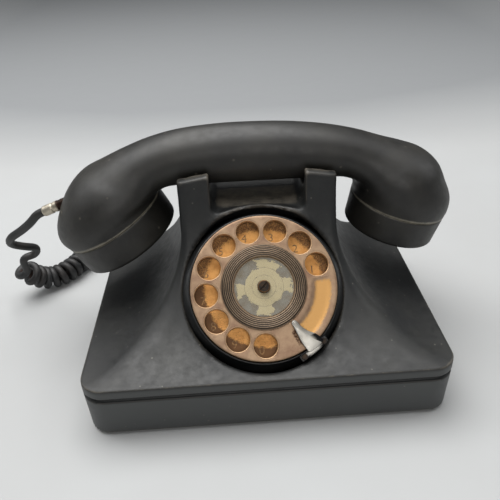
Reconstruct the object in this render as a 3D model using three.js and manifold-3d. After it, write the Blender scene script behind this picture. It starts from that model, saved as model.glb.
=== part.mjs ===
// Desk telephone with a rotary dial, modelled in millimetres.
// +Z is up, the dial faces -Y, and the origin is on the floor under the middle of the base.
import * as THREE from 'three';
import { mergeVertices } from 'three/addons/utils/BufferGeometryUtils.js';
import Module from 'manifold-3d';

const wasm = await Module();
wasm.setup();

// ---------------------------------------------------------------- driving dimensions
const GAP = 0.3;

const RIM_HALF_WIDTH = 96.7;
const RIM_HALF_DEPTH = 77.5;
const RIM_Z = 32.3;
const SKIRT_BOTTOM_Z = 1.5;
const GROOVE_TOP_Z = 26.4;
const GROOVE_BOTTOM_Z = 25.2;
const POST_HALF_WIDTH = 42.8;
const POST_FRONT_Y = -9.2;
const POST_BACK_Y = 41;
const POST_TOP_Z = 114.6;
const POST_INNER_X = 25.7;
const FLARE_HEIGHT = 79.7;
const RIM_CORNER = 13;
const POST_CORNER = 3.5;
const WALL = 3.2;
const CAVITY_TOP_Z = 86;

const DIAL_CENTRE = new THREE.Vector3(0, -42, 64.6);
const DIAL_ELEVATION = THREE.MathUtils.degToRad(44.15);
const WHEEL_R = 38.5;
const WHEEL_THICKNESS = 3;
const HOLE_COUNT = 10;
const HOLE_R = 6.15;
const HOLE_PITCH_R = 30.4;
const HOLE_FIRST_DEG = 20;
const HOLE_STEP_DEG = 27.54;
const STOP_DEG = -55;
const SHAFT_R = 3;
const MAIN_TEETH = 32;
const PINION_TEETH = 8;
const GEAR_MODULE = 1.5;
const PINION_X = -(MAIN_TEETH + PINION_TEETH) * GEAR_MODULE / 2;
const WORM_WHEEL_R = 8;
const WORM_R = 2.2;

const HANDLE_Y = 14.8;
const HANDLE_HALF_WIDTH = 17;
const SEAT_Z = 99.4;
const TRANSMITTER = { x: -74.6, z: 65.4, tilt: 28.3, faceR: 30.7, seamR: 31.2, depth: 17.8 };
const RECEIVER = { x: 79.7, z: 63.9, tilt: -15.1, faceR: 27.2, seamR: 28.4, depth: 17.7 };

const PLUNGER_X = 34.2;
const PLUNGER_R = 3;
const PLUNGER_LENGTH = 20;
const HANDLE_BOTTOM_Z = 100.7;
const LEVER_PIVOT = new THREE.Vector3(0, 36, 73);

const CORD_R = 2.5;
const CURLY_R = 8.4;
const EXIT = new THREE.Vector3(-64, RIM_HALF_DEPTH, 14);
const LINE_EXIT_X = 40;

// ---------------------------------------------------------------- materials
const finish = (color, roughness, metalness) => () =>
  new THREE.MeshStandardMaterial({ color, roughness, metalness });
const bakelite = finish(0x2b2a28, 0.42, 0);
const blackPaint = finish(0x1c1d1e, 0.35, 0);
const copper = finish(0xb98560, 0.4, 0.8);
const platedCopper = finish(0xc98238, 0.25, 0.9);
const agedBrown = finish(0x5b4a3a, 0.5, 0.3);
const paper = finish(0xd8c998, 0.9, 0);
const celluloid = finish(0x8d8f90, 0.3, 0);
const steel = finish(0x9a9a98, 0.4, 0.9);
const brass = finish(0xb08d4f, 0.4, 0.9);
const fibre = finish(0x6d3a22, 0.7, 0);
const rubber = finish(0x17171a, 0.8, 0);
const winding = finish(0x7a2f1e, 0.6, 0.2);

// ---------------------------------------------------------------- solid tools
function solidOf(geometry) {
  const bare = geometry.clone();
  bare.deleteAttribute('normal');
  bare.deleteAttribute('uv');
  const merged = mergeVertices(bare, 1e-4);
  const index = merged.index.array;
  const triangles = [];
  for (let i = 0; i < index.length; i += 3) {
    const [a, b, c] = [index[i], index[i + 1], index[i + 2]];
    if (a !== b && b !== c && c !== a) triangles.push(a, b, c);
  }
  const vertProperties = Float32Array.from(merged.attributes.position.array);
  const triVerts = Uint32Array.from(triangles);
  return new wasm.Manifold(new wasm.Mesh({ numProp: 3, vertProperties, triVerts }));
}

function geometryOf(solid) {
  const mesh = solid.getMesh();
  const geometry = new THREE.BufferGeometry();
  const positions = new THREE.BufferAttribute(Float32Array.from(mesh.vertProperties), 3);
  geometry.setAttribute('position', positions);
  geometry.setIndex(new THREE.BufferAttribute(Uint32Array.from(mesh.triVerts), 1));
  geometry.computeVertexNormals();
  return geometry;
}

const join = (first, ...rest) => rest.reduce((sum, part) => sum.add(part), first);
const cut = (first, ...rest) => rest.reduce((left, tool) => left.subtract(tool), first);

/** A solid turned by XYZ angles in degrees and then moved. */
function placed(geometry, at, turn = [0, 0, 0]) {
  const euler = new THREE.Euler(...turn.map(THREE.MathUtils.degToRad));
  const matrix = new THREE.Matrix4().makeRotationFromEuler(euler).setPosition(...at);
  return solidOf(geometry.clone().applyMatrix4(matrix));
}

/** Turned shape about Z from a closed or axis-to-axis profile of [radius, height] points. */
function turned(profile, sides = 32) {
  const points = profile.map(([r, z]) => new THREE.Vector2(r, z));
  const closed = profile[0][0] > 0;
  if (closed) points.push(points[0].clone());
  const area = points.reduce((sum, p, i) => {
    const q = points[(i + 1) % points.length];
    return sum + p.x * q.y - q.x * p.y;
  }, 0);
  if (area < 0) points.reverse();
  return new THREE.LatheGeometry(points, sides).rotateX(Math.PI / 2);
}

const disc = (r, z0, z1, sides = 24) => turned([[0, z0], [r, z0], [r, z1], [0, z1]], sides);
const ring = (r0, r1, z0, z1, sides = 32) => turned([[r0, z0], [r1, z0], [r1, z1], [r0, z1]], sides);
const block = (w, d, h) => new THREE.BoxGeometry(w, d, h);

function extruded(points, depth) {
  const shape = new THREE.Shape(points.map(([x, y]) => new THREE.Vector2(x, y)));
  return new THREE.ExtrudeGeometry(shape, { depth, bevelEnabled: false, steps: 1 });
}

/** A profile of [y, z] points carried along X, centred on x = 0. */
function alongX(points, width) {
  const turn = new THREE.Matrix4().makeBasis(
    new THREE.Vector3(0, 1, 0), new THREE.Vector3(0, 0, 1), new THREE.Vector3(1, 0, 0));
  return extruded(points, width).applyMatrix4(turn).translate(-width / 2, 0, 0);
}

function tube(points, radius, sides, steps) {
  const vectors = points.map((p) => new THREE.Vector3(...p));
  const path = new THREE.CatmullRomCurve3(vectors, false, 'centripetal');
  const shape = new THREE.Shape();
  shape.absarc(0, 0, radius, 0, Math.PI * 2);
  const outline = new THREE.Shape(shape.getPoints(sides).slice(0, sides));
  return new THREE.ExtrudeGeometry(outline, { steps, bevelEnabled: false, extrudePath: path });
}

/** Skin over equal rings of points, lowest first, closed by a fan at each end. */
function lofted(rings) {
  const count = rings[0].length;
  const positions = rings.flat().flatMap((p) => [p.x, p.y, p.z]);
  const index = [];
  for (let level = 0; level + 1 < rings.length; level += 1) {
    for (let i = 0; i < count; i += 1) {
      const next = (i + 1) % count;
      const [a, b] = [level * count + i, level * count + next];
      index.push(a, b, b + count, a, b + count, a + count);
    }
  }
  for (const [level, flip] of [[0, true], [rings.length - 1, false]]) {
    const centre = rings[level].reduce((sum, p) => sum.add(p), new THREE.Vector3()).divideScalar(count);
    const hub = positions.length / 3;
    positions.push(centre.x, centre.y, centre.z);
    for (let i = 0; i < count; i += 1) {
      const [a, b] = [level * count + i, level * count + (i + 1) % count];
      index.push(...(flip ? [hub, b, a] : [hub, a, b]));
    }
  }
  const geometry = new THREE.BufferGeometry();
  geometry.setAttribute('position', new THREE.Float32BufferAttribute(positions, 3));
  geometry.setIndex(index);
  return geometry;
}

const telephone = new THREE.Group();
telephone.name = 'telephone';
const dial = new THREE.Group();
dial.position.copy(DIAL_CENTRE);
dial.rotation.x = Math.PI / 2 - DIAL_ELEVATION;
telephone.add(dial);
dial.updateMatrixWorld(true);

function add(name, solid, material, parent = telephone) {
  const mesh = new THREE.Mesh(geometryOf(solid), material());
  mesh.name = name;
  parent.add(mesh);
}

/** A copy of a dial-frame solid in the frame of the whole telephone. */
function fromDial(geometry) {
  return solidOf(geometry.clone().applyMatrix4(dial.matrixWorld));
}

/** Turn and offset of a spot on the dial face, given by its angle and radius. */
const dialSpot = (degrees, r) => {
  const angle = THREE.MathUtils.degToRad(degrees);
  return [r * Math.cos(angle), r * Math.sin(angle)];
};

// ---------------------------------------------------------------- housing
const stopTangent = STOP_DEG + 90;
const stopScrewSpots = [-6.4, 6.4].map((slide) => {
  const [x, y] = dialSpot(STOP_DEG, 41);
  const [dx, dy] = dialSpot(stopTangent, slide);
  return [x + dx, y + dy];
});
/** How far the flare still stands out at height z: 1 at the rim, 0 at the post. */
function flare(z, rise, fall) {
  const u = Math.min(Math.max((z - RIM_Z) / FLARE_HEIGHT, 0), 1);
  return (1 - u ** rise) ** fall;
}
function halfWidth(z) {
  const u = Math.min(Math.max((z - RIM_Z) / 50, 0), 1);
  return POST_HALF_WIDTH + (RIM_HALF_WIDTH - POST_HALF_WIDTH) * (1 - u ** 0.5) ** 1.55;
}
const frontY = (z) => POST_FRONT_Y - (RIM_HALF_DEPTH + POST_FRONT_Y) * flare(z, 0.7, 1.83);
const backY = (z) => POST_BACK_Y + (RIM_HALF_DEPTH - POST_BACK_Y) * flare(z, 0.7, 1.83);
const cornerR = (z) => POST_CORNER + (RIM_CORNER - POST_CORNER) * flare(z, 0.5, 2.2);

/** Rounded rectangle at height z, from its half width, its two Y faces and its corner radius. */
function section(z, half, front, back, radius, arc = 5) {
  const points = [];
  const corners = [[half, back, 0], [-half, back, 1], [-half, front, 2], [half, front, 3]];
  for (const [x, y, quarter] of corners) {
    const cx = x - Math.sign(x) * radius;
    const cy = quarter < 2 ? y - radius : y + radius;
    for (let i = 0; i <= arc; i += 1) {
      const angle = (quarter + i / arc) * Math.PI / 2;
      points.push(new THREE.Vector3(cx + radius * Math.cos(angle), cy + radius * Math.sin(angle), z));
    }
  }
  return points;
}

function bodyRing(z, inset = 0) {
  return section(z, halfWidth(z) - inset, frontY(z) + inset, backY(z) - inset, cornerR(z));
}

function housingSolid() {
  const skirt = [
    [SKIRT_BOTTOM_Z, 1.3], [GROOVE_BOTTOM_Z - 0.5, 0.4], [GROOVE_BOTTOM_Z, 1.1],
    [GROOVE_TOP_Z, 1.1], [GROOVE_TOP_Z + 0.5, 0.1], [RIM_Z - 1, 0], [RIM_Z, 1],
  ];
  const outerRings = skirt.map(([z, inset]) => bodyRing(z, inset));
  for (const rise of [0.25, 1.2, 3, 6, 10, 15, 22, 31, 42, 56, 83.5]) {
    outerRings.push(bodyRing(RIM_Z + rise));
  }
  const skirtWall = WALL + 1;
  const skirtHalf = RIM_HALF_WIDTH - skirtWall;
  const skirtDepth = RIM_HALF_DEPTH - skirtWall;
  const innerRings = [-1, RIM_Z - skirtWall, RIM_Z - WALL].map(
    (z) => section(z, skirtHalf, -skirtDepth, skirtDepth, RIM_CORNER - WALL, 3));
  for (const z of [31, 35, 40, 48, 60, 72, CAVITY_TOP_Z]) {
    const above = z + WALL;
    const half = halfWidth(above) - WALL;
    innerRings.push(section(z, half, frontY(above) + WALL, backY(above) - WALL, 3, 3));
  }
  const bosses = [];
  const bossHoles = [];
  for (const x of [-1, 1]) {
    for (const y of [-1, 1]) {
      bosses.push(placed(disc(6, 4, 30, 16), [x * 80, y * 61, 0]));
      bossHoles.push(placed(disc(1.7, 0, 16, 10), [x * 80, y * 61, 0]));
    }
  }
  const channel = [];
  for (let i = 0; i <= 14; i += 1) {
    const angle = Math.PI + i / 14 * Math.PI;
    const across = Math.sign(Math.cos(angle)) * Math.abs(Math.cos(angle)) ** 0.8;
    const down = Math.abs(Math.sin(angle)) ** 0.8;
    channel.push([HANDLE_Y + 18.2 * across, 117 - (117 - SEAT_Z) * down]);
  }
  channel.push([HANDLE_Y + 18.2, 125], [HANDLE_Y - 18.2, 125]);
  const middleY = (POST_FRONT_Y + POST_BACK_Y) / 2;
  const saddle = [[middleY + 40, 125], [middleY - 40, 125]];
  for (let i = 0; i <= 12; i += 1) {
    const y = middleY - 40 + i / 12 * 80;
    saddle.push([y, 94 - 7 * Math.abs((y - middleY) / 29) ** 2.6]);
  }
  const topBlock = block(60, 90, 12);
  const tops = [-1, 1].map((side) => placed(topBlock, [side * 36, 16, 118.6], [0, side * 9.3, 0]));
  const dialSeat = [[0, -30], [44.1, -30], [44.1, -12], [40.1, -1.5], [46, 12], [0, 12]];
  const bore = disc(PLUNGER_R + GAP, 78, 112, 16);
  const plungerBores = [-1, 1].map((side) => placed(bore, [side * PLUNGER_X, HANDLE_Y, 0]));
  const stopDrills = stopScrewSpots.map(([x, y]) => fromDial(disc(1.7, -9, 2, 8).translate(x, y, 0)));
  const cordHole = disc(5.2, 0, 20, 16);
  const cordHoles = [EXIT.x, LINE_EXIT_X].map((x) => placed(cordHole, [x, 65, EXIT.z], [-90, 0, 0]));
  const shell = join(cut(solidOf(lofted(outerRings)), solidOf(lofted(innerRings))), ...bosses);
  const cradle = [solidOf(alongX(channel, 130)), solidOf(alongX(saddle, 2 * POST_INNER_X)), ...tops];
  const drills = [...plungerBores, ...cordHoles, ...stopDrills, ...bossHoles];
  return cut(shell, ...cradle, fromDial(turned(dialSeat, 48)), ...drills);
}
add('housing', housingSolid(), bakelite);

// ---------------------------------------------------------------- base
const FOOT_X = 66;
const FOOT_Y = 50;
const PLATE_Z = 2;
const PLATE_TOP = 3.6;
const corners = [[-1, -1], [1, -1], [1, 1], [-1, 1]];

const plateRings = [PLATE_Z, PLATE_TOP].map((z) => section(z, 91.8, -72.6, 72.6, 9, 4));
const plateHoles = corners.map(([x, y]) => placed(disc(1.9, 0, 6, 10), [x * 80, y * 61, 0]));
add('base_plate', cut(solidOf(lofted(plateRings)), ...plateHoles), blackPaint);
corners.forEach(([x, y], i) => {
  const foot = turned([[0, 0], [7.4, 0], [9, 0.9], [9, PLATE_Z - GAP], [0, PLATE_Z - GAP]], 16);
  add(`foot_${i + 1}`, placed(foot, [x * FOOT_X, y * FOOT_Y, 0]), rubber);
  const under = PLATE_Z - GAP;
  const screwProfile = [[0, 0.6], [2.6, 0.6], [3.2, 1.1], [3.2, under], [1.4, under], [1.4, 15], [0, 15]];
  const screw = turned(screwProfile, 12);
  const slot = placed(block(8, 0.9, 1.2), [x * 80, y * 61, 0.5], [0, 0, 35 * (i + 1)]);
  add(`base_screw_${i + 1}`, cut(placed(screw, [x * 80, y * 61, 0]), slot), steel);
});

// ---------------------------------------------------------------- dial: fixed pieces
const collarProfile = [
  [39.8, -2.5], [43.5, -12], [43.5, -15], [33, -15], [33, -7.2], [38.9, -7.2], [38.9, -2.5],
];
const dialScrewSpots = [30, 150, 270].map((degrees) => dialSpot(degrees, 38.4));
const collarHoles = [
  ...dialScrewSpots.map(([x, y]) => placed(disc(1.5, -16, -9.5, 8), [x, y, 0])),
  ...stopScrewSpots.map(([x, y]) => placed(disc(1.1, -9, 0, 8), [x, y, 0])),
];
add('dial_collar', cut(solidOf(turned(collarProfile, 48)), ...collarHoles), blackPaint, dial);
add('number_plate', solidOf(ring(22.6, 38.5, -6.9, -6, 36)), platedCopper, dial);

const frameHoles = dialScrewSpots.map(([x, y]) => placed(disc(1.8, -18, -14, 8), [x, y, 0]));
const cupSeat = placed(block(3, 12, 16), [-28.7, -22, -24.5]);
const pinionHole = placed(disc(1.9, -19, -14, 8), [PINION_X, 0, 0]);
const framePlate = solidOf(ring(SHAFT_R + GAP, 41.5, -17.3, -15.3, 32));
add('dial_frame', cut(join(framePlate, cupSeat), ...frameHoles, pinionHole), steel, dial);
dialScrewSpots.forEach(([x, y], i) => {
  const profile = [[0, -19.2], [2.6, -19.2], [2.9, -17.6], [1.2, -17.6], [1.2, -10], [0, -10]];
  const screw = turned(profile, 10);
  add(`dial_screw_${i + 1}`, placed(screw, [x, y, 0]), steel, dial);
});

/** Blade of the finger stop in its own frame: X points outward, Y along the rim. */
function fingerStopSolid() {
  const blade = [
    [-15.4, -1], [-15.9, 0.4], [-14.9, 1.5], [-11, 1.9], [-7, 3.2], [-3.4, 5.6], [-0.3, 6.2],
    [1.4, 6.2], [1.4, -3.4], [-0.6, -3.4], [-4.6, -3.2], [-8.6, -2.4], [-12.4, -1.6],
  ];
  const sheet = placed(extruded(blade, 1.2), [0, 0, 0.9]);
  const riser = placed(block(1.4, 7.8, 4.3), [0.7, 0.5, -0.05]);
  const foot = placed(block(3.8, 17.4, 1.2), [1.9, 0, -1.6]);
  const holes = [-6.4, 6.4].map((slide) => placed(disc(1.2, -4, 0, 8), [41 - 38.95, slide, 0]));
  const turn = new THREE.Matrix4().makeRotationZ(THREE.MathUtils.degToRad(STOP_DEG));
  const shift = new THREE.Matrix4().makeTranslation(38.95, 0, 0);
  const solid = cut(join(sheet, riser, foot), ...holes);
  return solidOf(geometryOf(solid).applyMatrix4(turn.multiply(shift)));
}
add('finger_stop', fingerStopSolid(), steel, dial);
stopScrewSpots.forEach(([x, y], i) => {
  const screw = turned([[0, -8.4], [0.8, -8.4], [0.8, -0.7], [1.7, -0.7], [1.5, 0.1], [0, 0.1]], 10);
  add(`finger_stop_screw_${i + 1}`, placed(screw, [x, y, 0]), steel, dial);
});

/** Leaf-spring pile: an insulating block up to the given height, with long leaves standing out of it. */
function contactPile(length, leaves, top) {
  const base = placed(block(10, 8, top + 4.5), [0, 0, (top - 4.5) / 2]);
  const blades = [];
  for (let i = 0; i < leaves; i += 1) {
    blades.push(placed(block(length, 4.4, 0.5), [length / 2, 0, -3 + i * 3]));
  }
  return join(base, ...blades);
}
const pulsePile = geometryOf(contactPile(26, 3, 8.9));
add('pulse_contacts', placed(pulsePile, [26, -24, -26.5], [0, 0, 100]), brass, dial);

const cupBody = turned([[7.4, -11], [8.4, -11], [8.4, 0], [1.7, 0], [1.7, -1.2], [7.4, -1.2]], 20);
const cupX = PINION_X - WORM_WHEEL_R - WORM_R - GAP;
add('governor_cup', placed(cupBody, [cupX, -26.2, -26], [90, 0, 0]), brass, dial);

// ---------------------------------------------------------------- dial: turning pieces
/** Spur gear with slim teeth, one tooth centred on the given angle. */
function gear(teeth, z0, z1, firstDeg) {
  const pitch = teeth * GEAR_MODULE / 2;
  const points = [];
  for (let i = 0; i < teeth; i += 1) {
    const centre = firstDeg / 180 * Math.PI + i / teeth * Math.PI * 2;
    const step = Math.PI * 2 / teeth;
    const root = pitch - 1.3;
    const tip = pitch + 0.8;
    for (const [offset, r] of [[-0.3, root], [-0.1, tip], [0.1, tip], [0.3, root]]) {
      points.push([r * Math.cos(centre + offset * step), r * Math.sin(centre + offset * step)]);
    }
  }
  return placed(extruded(points, z1 - z0), [0, 0, z0]);
}

function fingerWheelSolid() {
  const bore = SHAFT_R + GAP;
  const rim = WHEEL_R - 0.6;
  const profile = [
    [bore, -WHEEL_THICKNESS], [rim, -WHEEL_THICKNESS], [WHEEL_R, -WHEEL_THICKNESS + 0.6],
    [WHEEL_R, -0.6], [rim, 0], [22.8, 0], [22.8, -1], [bore, -1],
  ];
  const holes = [];
  for (let i = 0; i < HOLE_COUNT; i += 1) {
    const [x, y] = dialSpot(HOLE_FIRST_DEG + i * HOLE_STEP_DEG, HOLE_PITCH_R);
    holes.push(placed(disc(HOLE_R, -5, 3, 16), [x, y, 0]));
  }
  return cut(solidOf(turned(profile, 48)), ...holes);
}
add('finger_wheel', fingerWheelSolid(), copper, dial);
const cardRing = [[16, -0.7], [22.4, -0.7], [22.4, 1], [21.4, 1.7], [16, 0.2]];
add('card_ring', solidOf(turned(cardRing, 36)), agedBrown, dial);
add('number_card', solidOf(ring(3.4, 15.6, -0.7, -0.3, 30)), paper, dial);
add('card_window', solidOf(ring(3.4, 15.6, 0, 0.5, 30)), celluloid, dial);
const screwHead = turned([[0, -6], [1.2, -6], [1.2, 0.8], [3.3, 0.8], [3.3, 1.6], [2.6, 2.2], [0, 2.2]], 20);
const screwSlot = placed(block(8, 0.8, 1.4), [0, 0, 2.2], [0, 0, 45]);
add('centre_screw', cut(solidOf(screwHead), screwSlot), steel, dial);
const shaftProfile = [[0, -34], [SHAFT_R, -34], [SHAFT_R, 0.4], [1.6, 0.4], [1.6, -7], [0, -7]];
add('dial_shaft', solidOf(turned(shaftProfile, 20)), steel, dial);
const shaftBore = solidOf(disc(SHAFT_R + GAP, -40, 10, 20));
add('main_gear', cut(gear(MAIN_TEETH, -20.2, -18.6, 0), shaftBore), brass, dial);
add('spring_barrel', solidOf(ring(SHAFT_R + GAP, 12, -27, -20.8, 28)), steel, dial);

const wormWheel = solidOf(disc(WORM_WHEEL_R, -27, -25, 28));
const pinionAxle = solidOf(disc(1.5, -31, -15.5, 12));
const pinionSet = join(gear(PINION_TEETH, -20.4, -18.4, 180 / PINION_TEETH), wormWheel, pinionAxle);
add('pinion_shaft', placed(geometryOf(pinionSet), [PINION_X, 0, 0]), brass, dial);

const governorX = PINION_X - WORM_WHEEL_R - WORM_R - GAP;
const flyball = (side) => placed(new THREE.SphereGeometry(2.2, 8, 6), [side * 4, 0, -19]);
const governor = join(
  solidOf(disc(1.2, -26, 14, 12)), solidOf(disc(WORM_R, -6, 6, 16)),
  placed(block(8, 1.6, 1.6), [0, 0, -19]), flyball(-1), flyball(1));
add('governor_shaft', placed(geometryOf(governor), [governorX, 0, -26], [-90, 0, 0]), steel, dial);

// ---------------------------------------------------------------- hook switch
for (const [name, side] of [['plunger_left', -1], ['plunger_right', 1]]) {
  const top = HANDLE_BOTTOM_Z - GAP;
  const low = top - PLUNGER_LENGTH;
  const profile = [[0, low], [PLUNGER_R, low], [PLUNGER_R, top - 1], [PLUNGER_R - 1, top], [0, top]];
  add(name, placed(turned(profile, 16), [side * PLUNGER_X, HANDLE_Y, 0]), blackPaint);
}
const leverTop = HANDLE_BOTTOM_Z - 2 * GAP - PLUNGER_LENGTH;
const leverArms = [-1, 1].map((side) => placed(block(6, 24, 1.6), [side * 33, 25.4, leverTop - 0.8]));
const leverBar = placed(block(72, 5, 1.6), [0, 35.5, leverTop - 0.8]);
const leverEyes = [-1, 1].map((side) => placed(block(2, 6, 8), [side * 20, LEVER_PIVOT.y, leverTop - 4]));
const pinSpan = disc(1.5, -26, 26, 12);
const leverBore = placed(disc(1.8, -40, 40, 12), [0, LEVER_PIVOT.y, LEVER_PIVOT.z + 1.6], [0, 90, 0]);
add('hook_lever', cut(join(leverBar, ...leverArms, ...leverEyes), leverBore), steel);
const bracketCheeks = [-1, 1].map((side) => placed(block(2, 6, 12), [side * 24, LEVER_PIVOT.y, 71]));
const bracketPlate = placed(block(50, 18, 1.6), [0, LEVER_PIVOT.y - 6, 65.8]);
const bracketPin = placed(pinSpan, [0, LEVER_PIVOT.y, LEVER_PIVOT.z + 1.6], [0, 90, 0]);
const bracketLegs = [-1, 1].map((side) => placed(block(8, 1.6, 54), [side * 14, 33, 38.4]));
add('hook_bracket', join(bracketPlate, ...bracketCheeks, bracketPin, ...bracketLegs), steel);
add('hook_contacts', placed(geometryOf(contactPile(24, 3, 4.5)), [0, 26, 71.5], [0, 0, -90]), brass);

// ---------------------------------------------------------------- ringer and circuit pieces
const RINGER_Z = 10;
const GONG_X = 20;
const GONG_Y = 53;
const COIL_Y = 22;
const CLAPPER_Z = 43;
const ringerPlate = placed(block(80, 58, 2), [0, 41, RINGER_Z]);
const ringerLegs = [-1, 1].map((side) => placed(block(8, 50, 5.2), [side * 35, 41, RINGER_Z - 3.5]));
const gongPosts = [-1, 1].map((side) => placed(disc(2, RINGER_Z, 33, 12), [side * GONG_X, GONG_Y, 0]));
add('ringer_frame', join(ringerPlate, ...ringerLegs, ...gongPosts), steel);
for (const [name, side] of [['left', -1], ['right', 1]]) {
  const outside = [[2.4, 31], [9, 30], [14.6, 26], [17, 16]];
  const inside = [[15.8, 16], [13.6, 25], [8.6, 28.6], [2.4, 29.6]];
  const dome = turned([...outside, ...inside], 24);
  add(`gong_${name}`, placed(dome, [side * GONG_X, GONG_Y, 0]), brass);
  const nut = turned([[0, 33.3], [3.4, 33.3], [3.4, 35.4], [0, 35.4]], 6);
  add(`gong_nut_${name}`, placed(nut, [side * GONG_X, GONG_Y, 0]), steel);
  const flange = [[0, 11.3], [9, 11.3], [9, 12.6], [7.8, 12.6]];
  const pole = [[7.8, 38], [9, 38], [9, 39.3], [3, 39.3], [3, 41], [0, 41]];
  const spool = turned([...flange, ...pole], 16);
  add(`ringer_coil_${name}`, placed(spool, [side * 11.5, COIL_Y, 0]), winding);
}
const armature = placed(block(30, 6, 1.6), [0, COIL_Y, CLAPPER_Z]);
const clapperArm = placed(block(1.4, GONG_Y - COIL_Y, 1.2), [0, (COIL_Y + GONG_Y) / 2, CLAPPER_Z]);
const clapperRod = placed(disc(0.7, 24, CLAPPER_Z + 0.2, 6), [0, GONG_Y, 0]);
const clapperBall = placed(new THREE.SphereGeometry(2, 10, 6), [0, GONG_Y, 23]);
add('clapper', join(armature, clapperArm, clapperRod, clapperBall), steel);

const flangeLow = [[0, -19], [9, -19], [9, -17], [7.6, -17]];
const flangeHigh = [[7.6, 17], [9, 17], [9, 19], [0, 19]];
const bobbin = turned([...flangeLow, ...flangeHigh], 20);
add('induction_coil', placed(bobbin, [-52, 8, 13.2], [90, 0, 0]), winding);
add('capacitor', placed(block(20, 44, 16), [56, 6, 12]), steel);
const terminalBar = placed(block(46, 14, 6), [0, -30, 7]);
const terminals = [-18, -9, 0, 9, 18].map((x) => placed(disc(2.4, 9, 12, 8), [x, -30, 0]));
add('terminal_block', join(terminalBar, ...terminals), fibre);

// ---------------------------------------------------------------- cord entries
const cordGrommet = [[2.8, -6], [4.9, -6], [4.9, 0.3], [6.6, 0.3], [5.6, 3.6], [4.2, 5], [2.8, 5]];
add('cord_grommet', placed(turned(cordGrommet, 14), EXIT.toArray(), [-90, 0, 0]), rubber);
const lineGrommet = [[2.8, -6], [4.9, -6], [4.9, 0.3], [6.6, 0.3], [6.2, 1.8], [2.8, 1.8]];
add('line_grommet', placed(turned(lineGrommet, 14), [LINE_EXIT_X, EXIT.y, EXIT.z], [-90, 0, 0]), rubber);

// ---------------------------------------------------------------- handset
/** Axis frame of a head: the seam centre, the direction up the head and the direction outward. */
function headFrame(head) {
  const tilt = THREE.MathUtils.degToRad(head.tilt);
  const up = new THREE.Vector3(-Math.sin(tilt), 0, Math.cos(tilt));
  const out = new THREE.Vector3(Math.cos(tilt), 0, Math.sin(tilt)).multiplyScalar(Math.sign(head.x));
  const face = new THREE.Vector3(head.x, HANDLE_Y, head.z);
  return { up, out, face, seam: face.clone().addScaledVector(up, head.depth + GAP) };
}
const left = headFrame(TRANSMITTER);
const right = headFrame(RECEIVER);
const seamPoint = (head, r, sign) => {
  const across = sign * r;
  return [head.seam.x + across * head.out.x, head.seam.z + across * head.out.z];
};

// Upper and lower outlines of the handset as pairs [x, z], from the left seam to the right one,
// with the half width across the handset at each pair.
const handsetStations = [
  [seamPoint(left, TRANSMITTER.seamR, 1), seamPoint(left, TRANSMITTER.seamR, -1), 31.2],
  [[-115.2, 72.6], [-56.1, 98.2], 32],
  [[-115.4, 80], [-55.4, 99.2], 32],
  [[-111.4, 91], [-54.2, 100], 31],
  [[-106, 100.6], [-53, 100.5], 29],
  [[-98, 109], [-51.6, 100.8], 26],
  [[-87, 114.8], [-50.2, 100.9], 22.5],
  [[-73.5, 121.2], [-48.6, 100.9], 19.2],
  [[-59, 126.8], [-46, 100.8], 17.5],
  [[-44, 130.6], [-41, 100.7], HANDLE_HALF_WIDTH],
  [[-22, 132.9], [-21, HANDLE_BOTTOM_Z], HANDLE_HALF_WIDTH],
  [[0, 133.2], [0, HANDLE_BOTTOM_Z], HANDLE_HALF_WIDTH],
  [[22, 132.1], [21, HANDLE_BOTTOM_Z], HANDLE_HALF_WIDTH],
  [[44, 129], [41, 100.7], HANDLE_HALF_WIDTH],
  [[59.5, 125.2], [47, 100.8], 17.3],
  [[73.5, 120.4], [50, 100.6], 18.8],
  [[87, 116], [52.6, 100.1], 21.6],
  [[97.5, 111.6], [54.6, 99.4], 24.6],
  [[105, 105], [56, 98.4], 27],
  [[109.8, 95.4], [57, 96.4], 28.6],
  [[113.6, 86], [57.4, 93], 29.2],
  [[113.4, 79], [57.5, 90.4], 29],
  [seamPoint(right, RECEIVER.seamR, 1), seamPoint(right, RECEIVER.seamR, -1), 28.4],
];

function handsetRing([[topX, topZ], [lowX, lowZ], half], sides = 24) {
  const points = [];
  for (let i = 0; i < sides; i += 1) {
    const angle = i / sides * Math.PI * 2;
    const along = Math.cos(angle) / 2 + 0.5;
    points.push(new THREE.Vector3(
      lowX + (topX - lowX) * along, HANDLE_Y - half * Math.sin(angle), lowZ + (topZ - lowZ) * along));
  }
  return points;
}

/** A turned piece standing on a head's axis, with height 0 at the seam. */
function onHead(head, profile, sides = 28) {
  const geometry = turned(profile, sides);
  const turn = new THREE.Quaternion().setFromUnitVectors(new THREE.Vector3(0, 0, 1), head.up);
  return solidOf(geometry.applyQuaternion(turn).translate(head.seam.x, head.seam.y, head.seam.z));
}

const FERRULE_BASE = new THREE.Vector3(-111.4, HANDLE_Y, 90.9);
const FERRULE_TURN = [0, -111, 0];
const FERRULE_LENGTH = 12;
const ferruleBore = placed(disc(3.5, -5, 6, 16), FERRULE_BASE.toArray(), FERRULE_TURN);
const capsuleRoom = [[0, -5], [24.6, -5], [24.6, 9], [0, 9]];
const receiverRoom = [[0, -5], [22.4, -5], [22.4, 9], [0, 9]];
add('handset_handle', cut(
  solidOf(lofted(handsetStations.map((station) => handsetRing(station)))),
  onHead(left, capsuleRoom), onHead(right, receiverRoom), ferruleBore), bakelite);

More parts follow.
